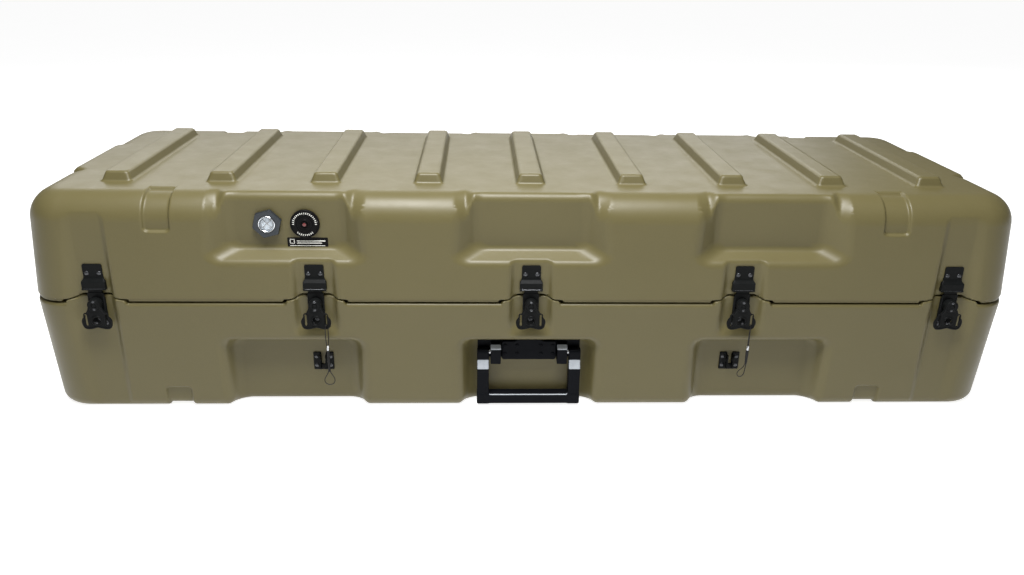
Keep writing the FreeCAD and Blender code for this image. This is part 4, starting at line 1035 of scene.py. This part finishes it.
glass_side = rounded_profile([(0.001, -5.05), (6.0, -4.95), (11.2, -4.5), (11.2, -3.75),
                              (0.001, -3.75)], 0.4)
window = lathe_piece("plug_window", [(glass_side, (PLUG_X, POCKET_Y, PORT_Z), BACK)], [window_material], 48)
dress(window, "lid", "window", "humidity_window")
label_box = [(LABEL_X - 33.5, LABEL_X + 33.5), (-240.2, -237.2), (LABEL_Z - 10.0, LABEL_Z + 10.0)]
label = field_piece("label_panel", label_field, label_box, grid_step(0.5), [valve_material, mark_material])
painted(label, lambda x, y, z: y < -238.88)
dress(label, "lid", "label", "label_plate")


# ---- lanyards
LEFT_WIRE = [
    (-0.3293, -0.2765, 0.1136), (-0.3299, -0.2769, 0.1210), (-0.3306, -0.2784, 0.1305),
    (-0.3308, -0.2795, 0.1410), (-0.3305, -0.2797, 0.1500), (-0.3298, -0.2790, 0.1572),
    (-0.3290, -0.2756, 0.1596), (-0.3282, -0.2722, 0.1572), (-0.3275, -0.2717, 0.1500),
    (-0.3272, -0.2719, 0.1410), (-0.3274, -0.2729, 0.1305), (-0.3281, -0.2743, 0.1210),
    (-0.3287, -0.2748, 0.1110), (-0.3292, -0.2753, 0.1010), (-0.3296, -0.2757, 0.0900),
    (-0.3299, -0.2756, 0.0800), (-0.3308, -0.2755, 0.0720), (-0.3350, -0.2756, 0.0655),
    (-0.3382, -0.2758, 0.0585), (-0.3355, -0.2760, 0.0518), (-0.3284, -0.2761, 0.0498),
    (-0.3216, -0.2760, 0.0530), (-0.3204, -0.2758, 0.0600), (-0.3236, -0.2756, 0.0668),
    (-0.3274, -0.2755, 0.0724), (-0.3281, -0.2756, 0.0790)]
RIGHT_WIRE = [
    (0.3607, -0.2765, 0.1136), (0.3601, -0.2769, 0.1210), (0.3594, -0.2784, 0.1305),
    (0.3592, -0.2795, 0.1410), (0.3595, -0.2797, 0.1500), (0.3602, -0.2790, 0.1572),
    (0.3610, -0.2756, 0.1596), (0.3618, -0.2722, 0.1572), (0.3625, -0.2717, 0.1500),
    (0.3628, -0.2719, 0.1410), (0.3626, -0.2729, 0.1305), (0.3619, -0.2743, 0.1210),
    (0.3613, -0.2748, 0.1110), (0.3612, -0.2753, 0.1030), (0.3605, -0.2757, 0.0950),
    (0.3600, -0.2756, 0.0880), (0.3574, -0.2755, 0.0810), (0.3514, -0.2756, 0.0765),
    (0.3480, -0.2758, 0.0705), (0.3492, -0.2760, 0.0650), (0.3550, -0.2761, 0.0638),
    (0.3594, -0.2760, 0.0680), (0.3604, -0.2758, 0.0755), (0.3612, -0.2756, 0.0825),
    (0.3618, -0.2756, 0.0895)]
WIRE_DIAMETER = 0.0014


def wire_curve(name, points):
    data = bpy.data.curves.new(name, "CURVE")
    data.dimensions = "3D"
    data.bevel_depth = WIRE_DIAMETER / 2
    data.bevel_resolution = 3
    data.use_fill_caps = True
    data.resolution_u = 8
    spline = data.splines.new("NURBS")
    spline.points.add(len(points) - 1)
    for point, place in zip(spline.points, points):
        point.co = (*place, 1.0)
    spline.order_u = 3
    spline.use_endpoint_u = True
    data.materials.append(wire_material)
    return shown(name, data)


UP = (0, 0, 1)
FERRULE_Z = 113.0
FERRULE = [(0.001, 8.0), (1.7, 8.0), (2.1, 7.4), (2.1, 6.0), (1.75, 5.4), (1.75, 4.8), (2.1, 4.2),
           (2.1, 3.6), (1.75, 3.0), (1.75, 2.4), (2.1, 1.8), (2.1, 0.6), (1.7, 0.0), (0.001, 0.0)]
for name, points, length, foot in (("left", LEFT_WIRE, 0.2001, 74.0),
                                   ("right", RIGHT_WIRE, 0.1800, 87.0)):
    body = "lanyard_" + name
    x, y = middle("lanyard_ferrule_" + name)[:2]
    wire = wire_curve("lanyard_line_" + name, points)
    dress(wire, body, "wire", "lanyard_wire_" + name)
    crimp_side = rounded_profile(FERRULE, 0.25)
    crimp = lathe_piece("lanyard_crimp_" + name, [(crimp_side, (x, y, FERRULE_Z), UP)],
                        [ferrule_material], 24)
    dress(crimp, body, "ferrule", "lanyard_ferrule_" + name)
    tall = FERRULE_Z - foot
    cover = rounded_profile([(0.001, tall - 0.2), (2.0, tall - 0.2), (2.4, tall - 1.4), (2.4, tall * 0.6),
                             (1.9, tall * 0.12), (1.6, 0.6), (1.2, 0.0), (0.001, 0.0)], 0.6)
    sleeve = lathe_piece("lanyard_tube_" + name, [(cover, (x, y, foot), UP)], [rubber_material], 24)
    dress(sleeve, body, "sleeve", "lanyard_sleeve_" + name)


# ---- carried-over CAD nodes
FINISHES = dict(
    shell=shell_material, gasket=rubber_material, black_steel=black_material, rivet=rivet_and_highlight_material,
    steel=steel_material, handle=handle_material, valve=valve_material, label=valve_material,
    button=button_material, plug=plug_material, bezel=chrome_material, window=window_material,
    card=card_material, wire=wire_material, ferrule=ferrule_material, sleeve=rubber_material)
for part in frame["record"]["subparts"]:
    node = frame["nodes"][part["node"]]
    node.data.materials.clear()
    node.data.materials.append(FINISHES[part["material_slot"]])

# ---- floor, light and camera
bpy.ops.mesh.primitive_plane_add(size=60.0, location=(0, 0, 0))
floor = bpy.context.object
floor.name = "floor"
pale = Nodes("pale_floor")
pale.link(pale.ramp(pale.noise(3.0), [(0.2, 0.56), (0.8, 0.60)]), pale.shader.inputs["Base Color"])
pale.shader.inputs["Roughness"].default_value = 0.9
pale.shader.inputs["Specular IOR Level"].default_value = 0.1
pale.shader.inputs["Emission Color"].default_value = (1, 1, 1, 1)
pale.shader.inputs["Emission Strength"].default_value = 0.88
floor.data.materials.append(pale.material)

world = bpy.data.worlds.new("studio")
bpy.context.scene.world = world
world.use_nodes = True
world.node_tree.nodes["Background"].inputs["Color"].default_value = (1, 1, 1, 1)
world.node_tree.nodes["Background"].inputs["Strength"].default_value = 0.14


def area_light(name, place, target, size, energy):
    data = bpy.data.lights.new(name, "AREA")
    data.shape = "RECTANGLE"
    data.size, data.size_y = size
    data.energy = energy
    lamp = shown(name, data)
    lamp.location = place
    lamp.rotation_mode = "QUATERNION"
    lamp.rotation_quaternion = (Vector(target) - Vector(place)).to_track_quat("-Z", "Y")


area_light("overhead", (-0.15, -0.7, 1.9), (-0.05, 0.0, 0.0), (1.1, 0.8), 93.0)
area_light("behind", (-0.4, 3.2, 1.9), (0.0, 0.0, 0.3), (5.0, 1.6), 66.0)
area_light("front_strip", (-0.3, -2.1, 2.3), (0.0, 0.0, 0.2), (2.4, 0.3), 6.0)

YAW, PITCH, ROLL = 0.0419, 0.38153, 0.01818
camera_data = bpy.data.cameras.new("camera")
camera = shown("camera", camera_data)
bpy.context.scene.camera = camera
camera_data.sensor_width = 36.0
camera_data.lens = 30.0751
camera_data.clip_start, camera_data.clip_end = 0.05, 60.0
camera.location = (-0.08433, -1.53813, 0.7307)
turn = (Matrix.Rotation(-YAW, 3, "Z") @ Matrix.Rotation(math.radians(90) - PITCH, 3, "X")
        @ Matrix.Rotation(ROLL, 3, "Z"))
camera.rotation_mode = "QUATERNION"
camera.rotation_quaternion = turn.to_quaternion()

bpy.context.scene.view_settings.view_transform = "Standard"
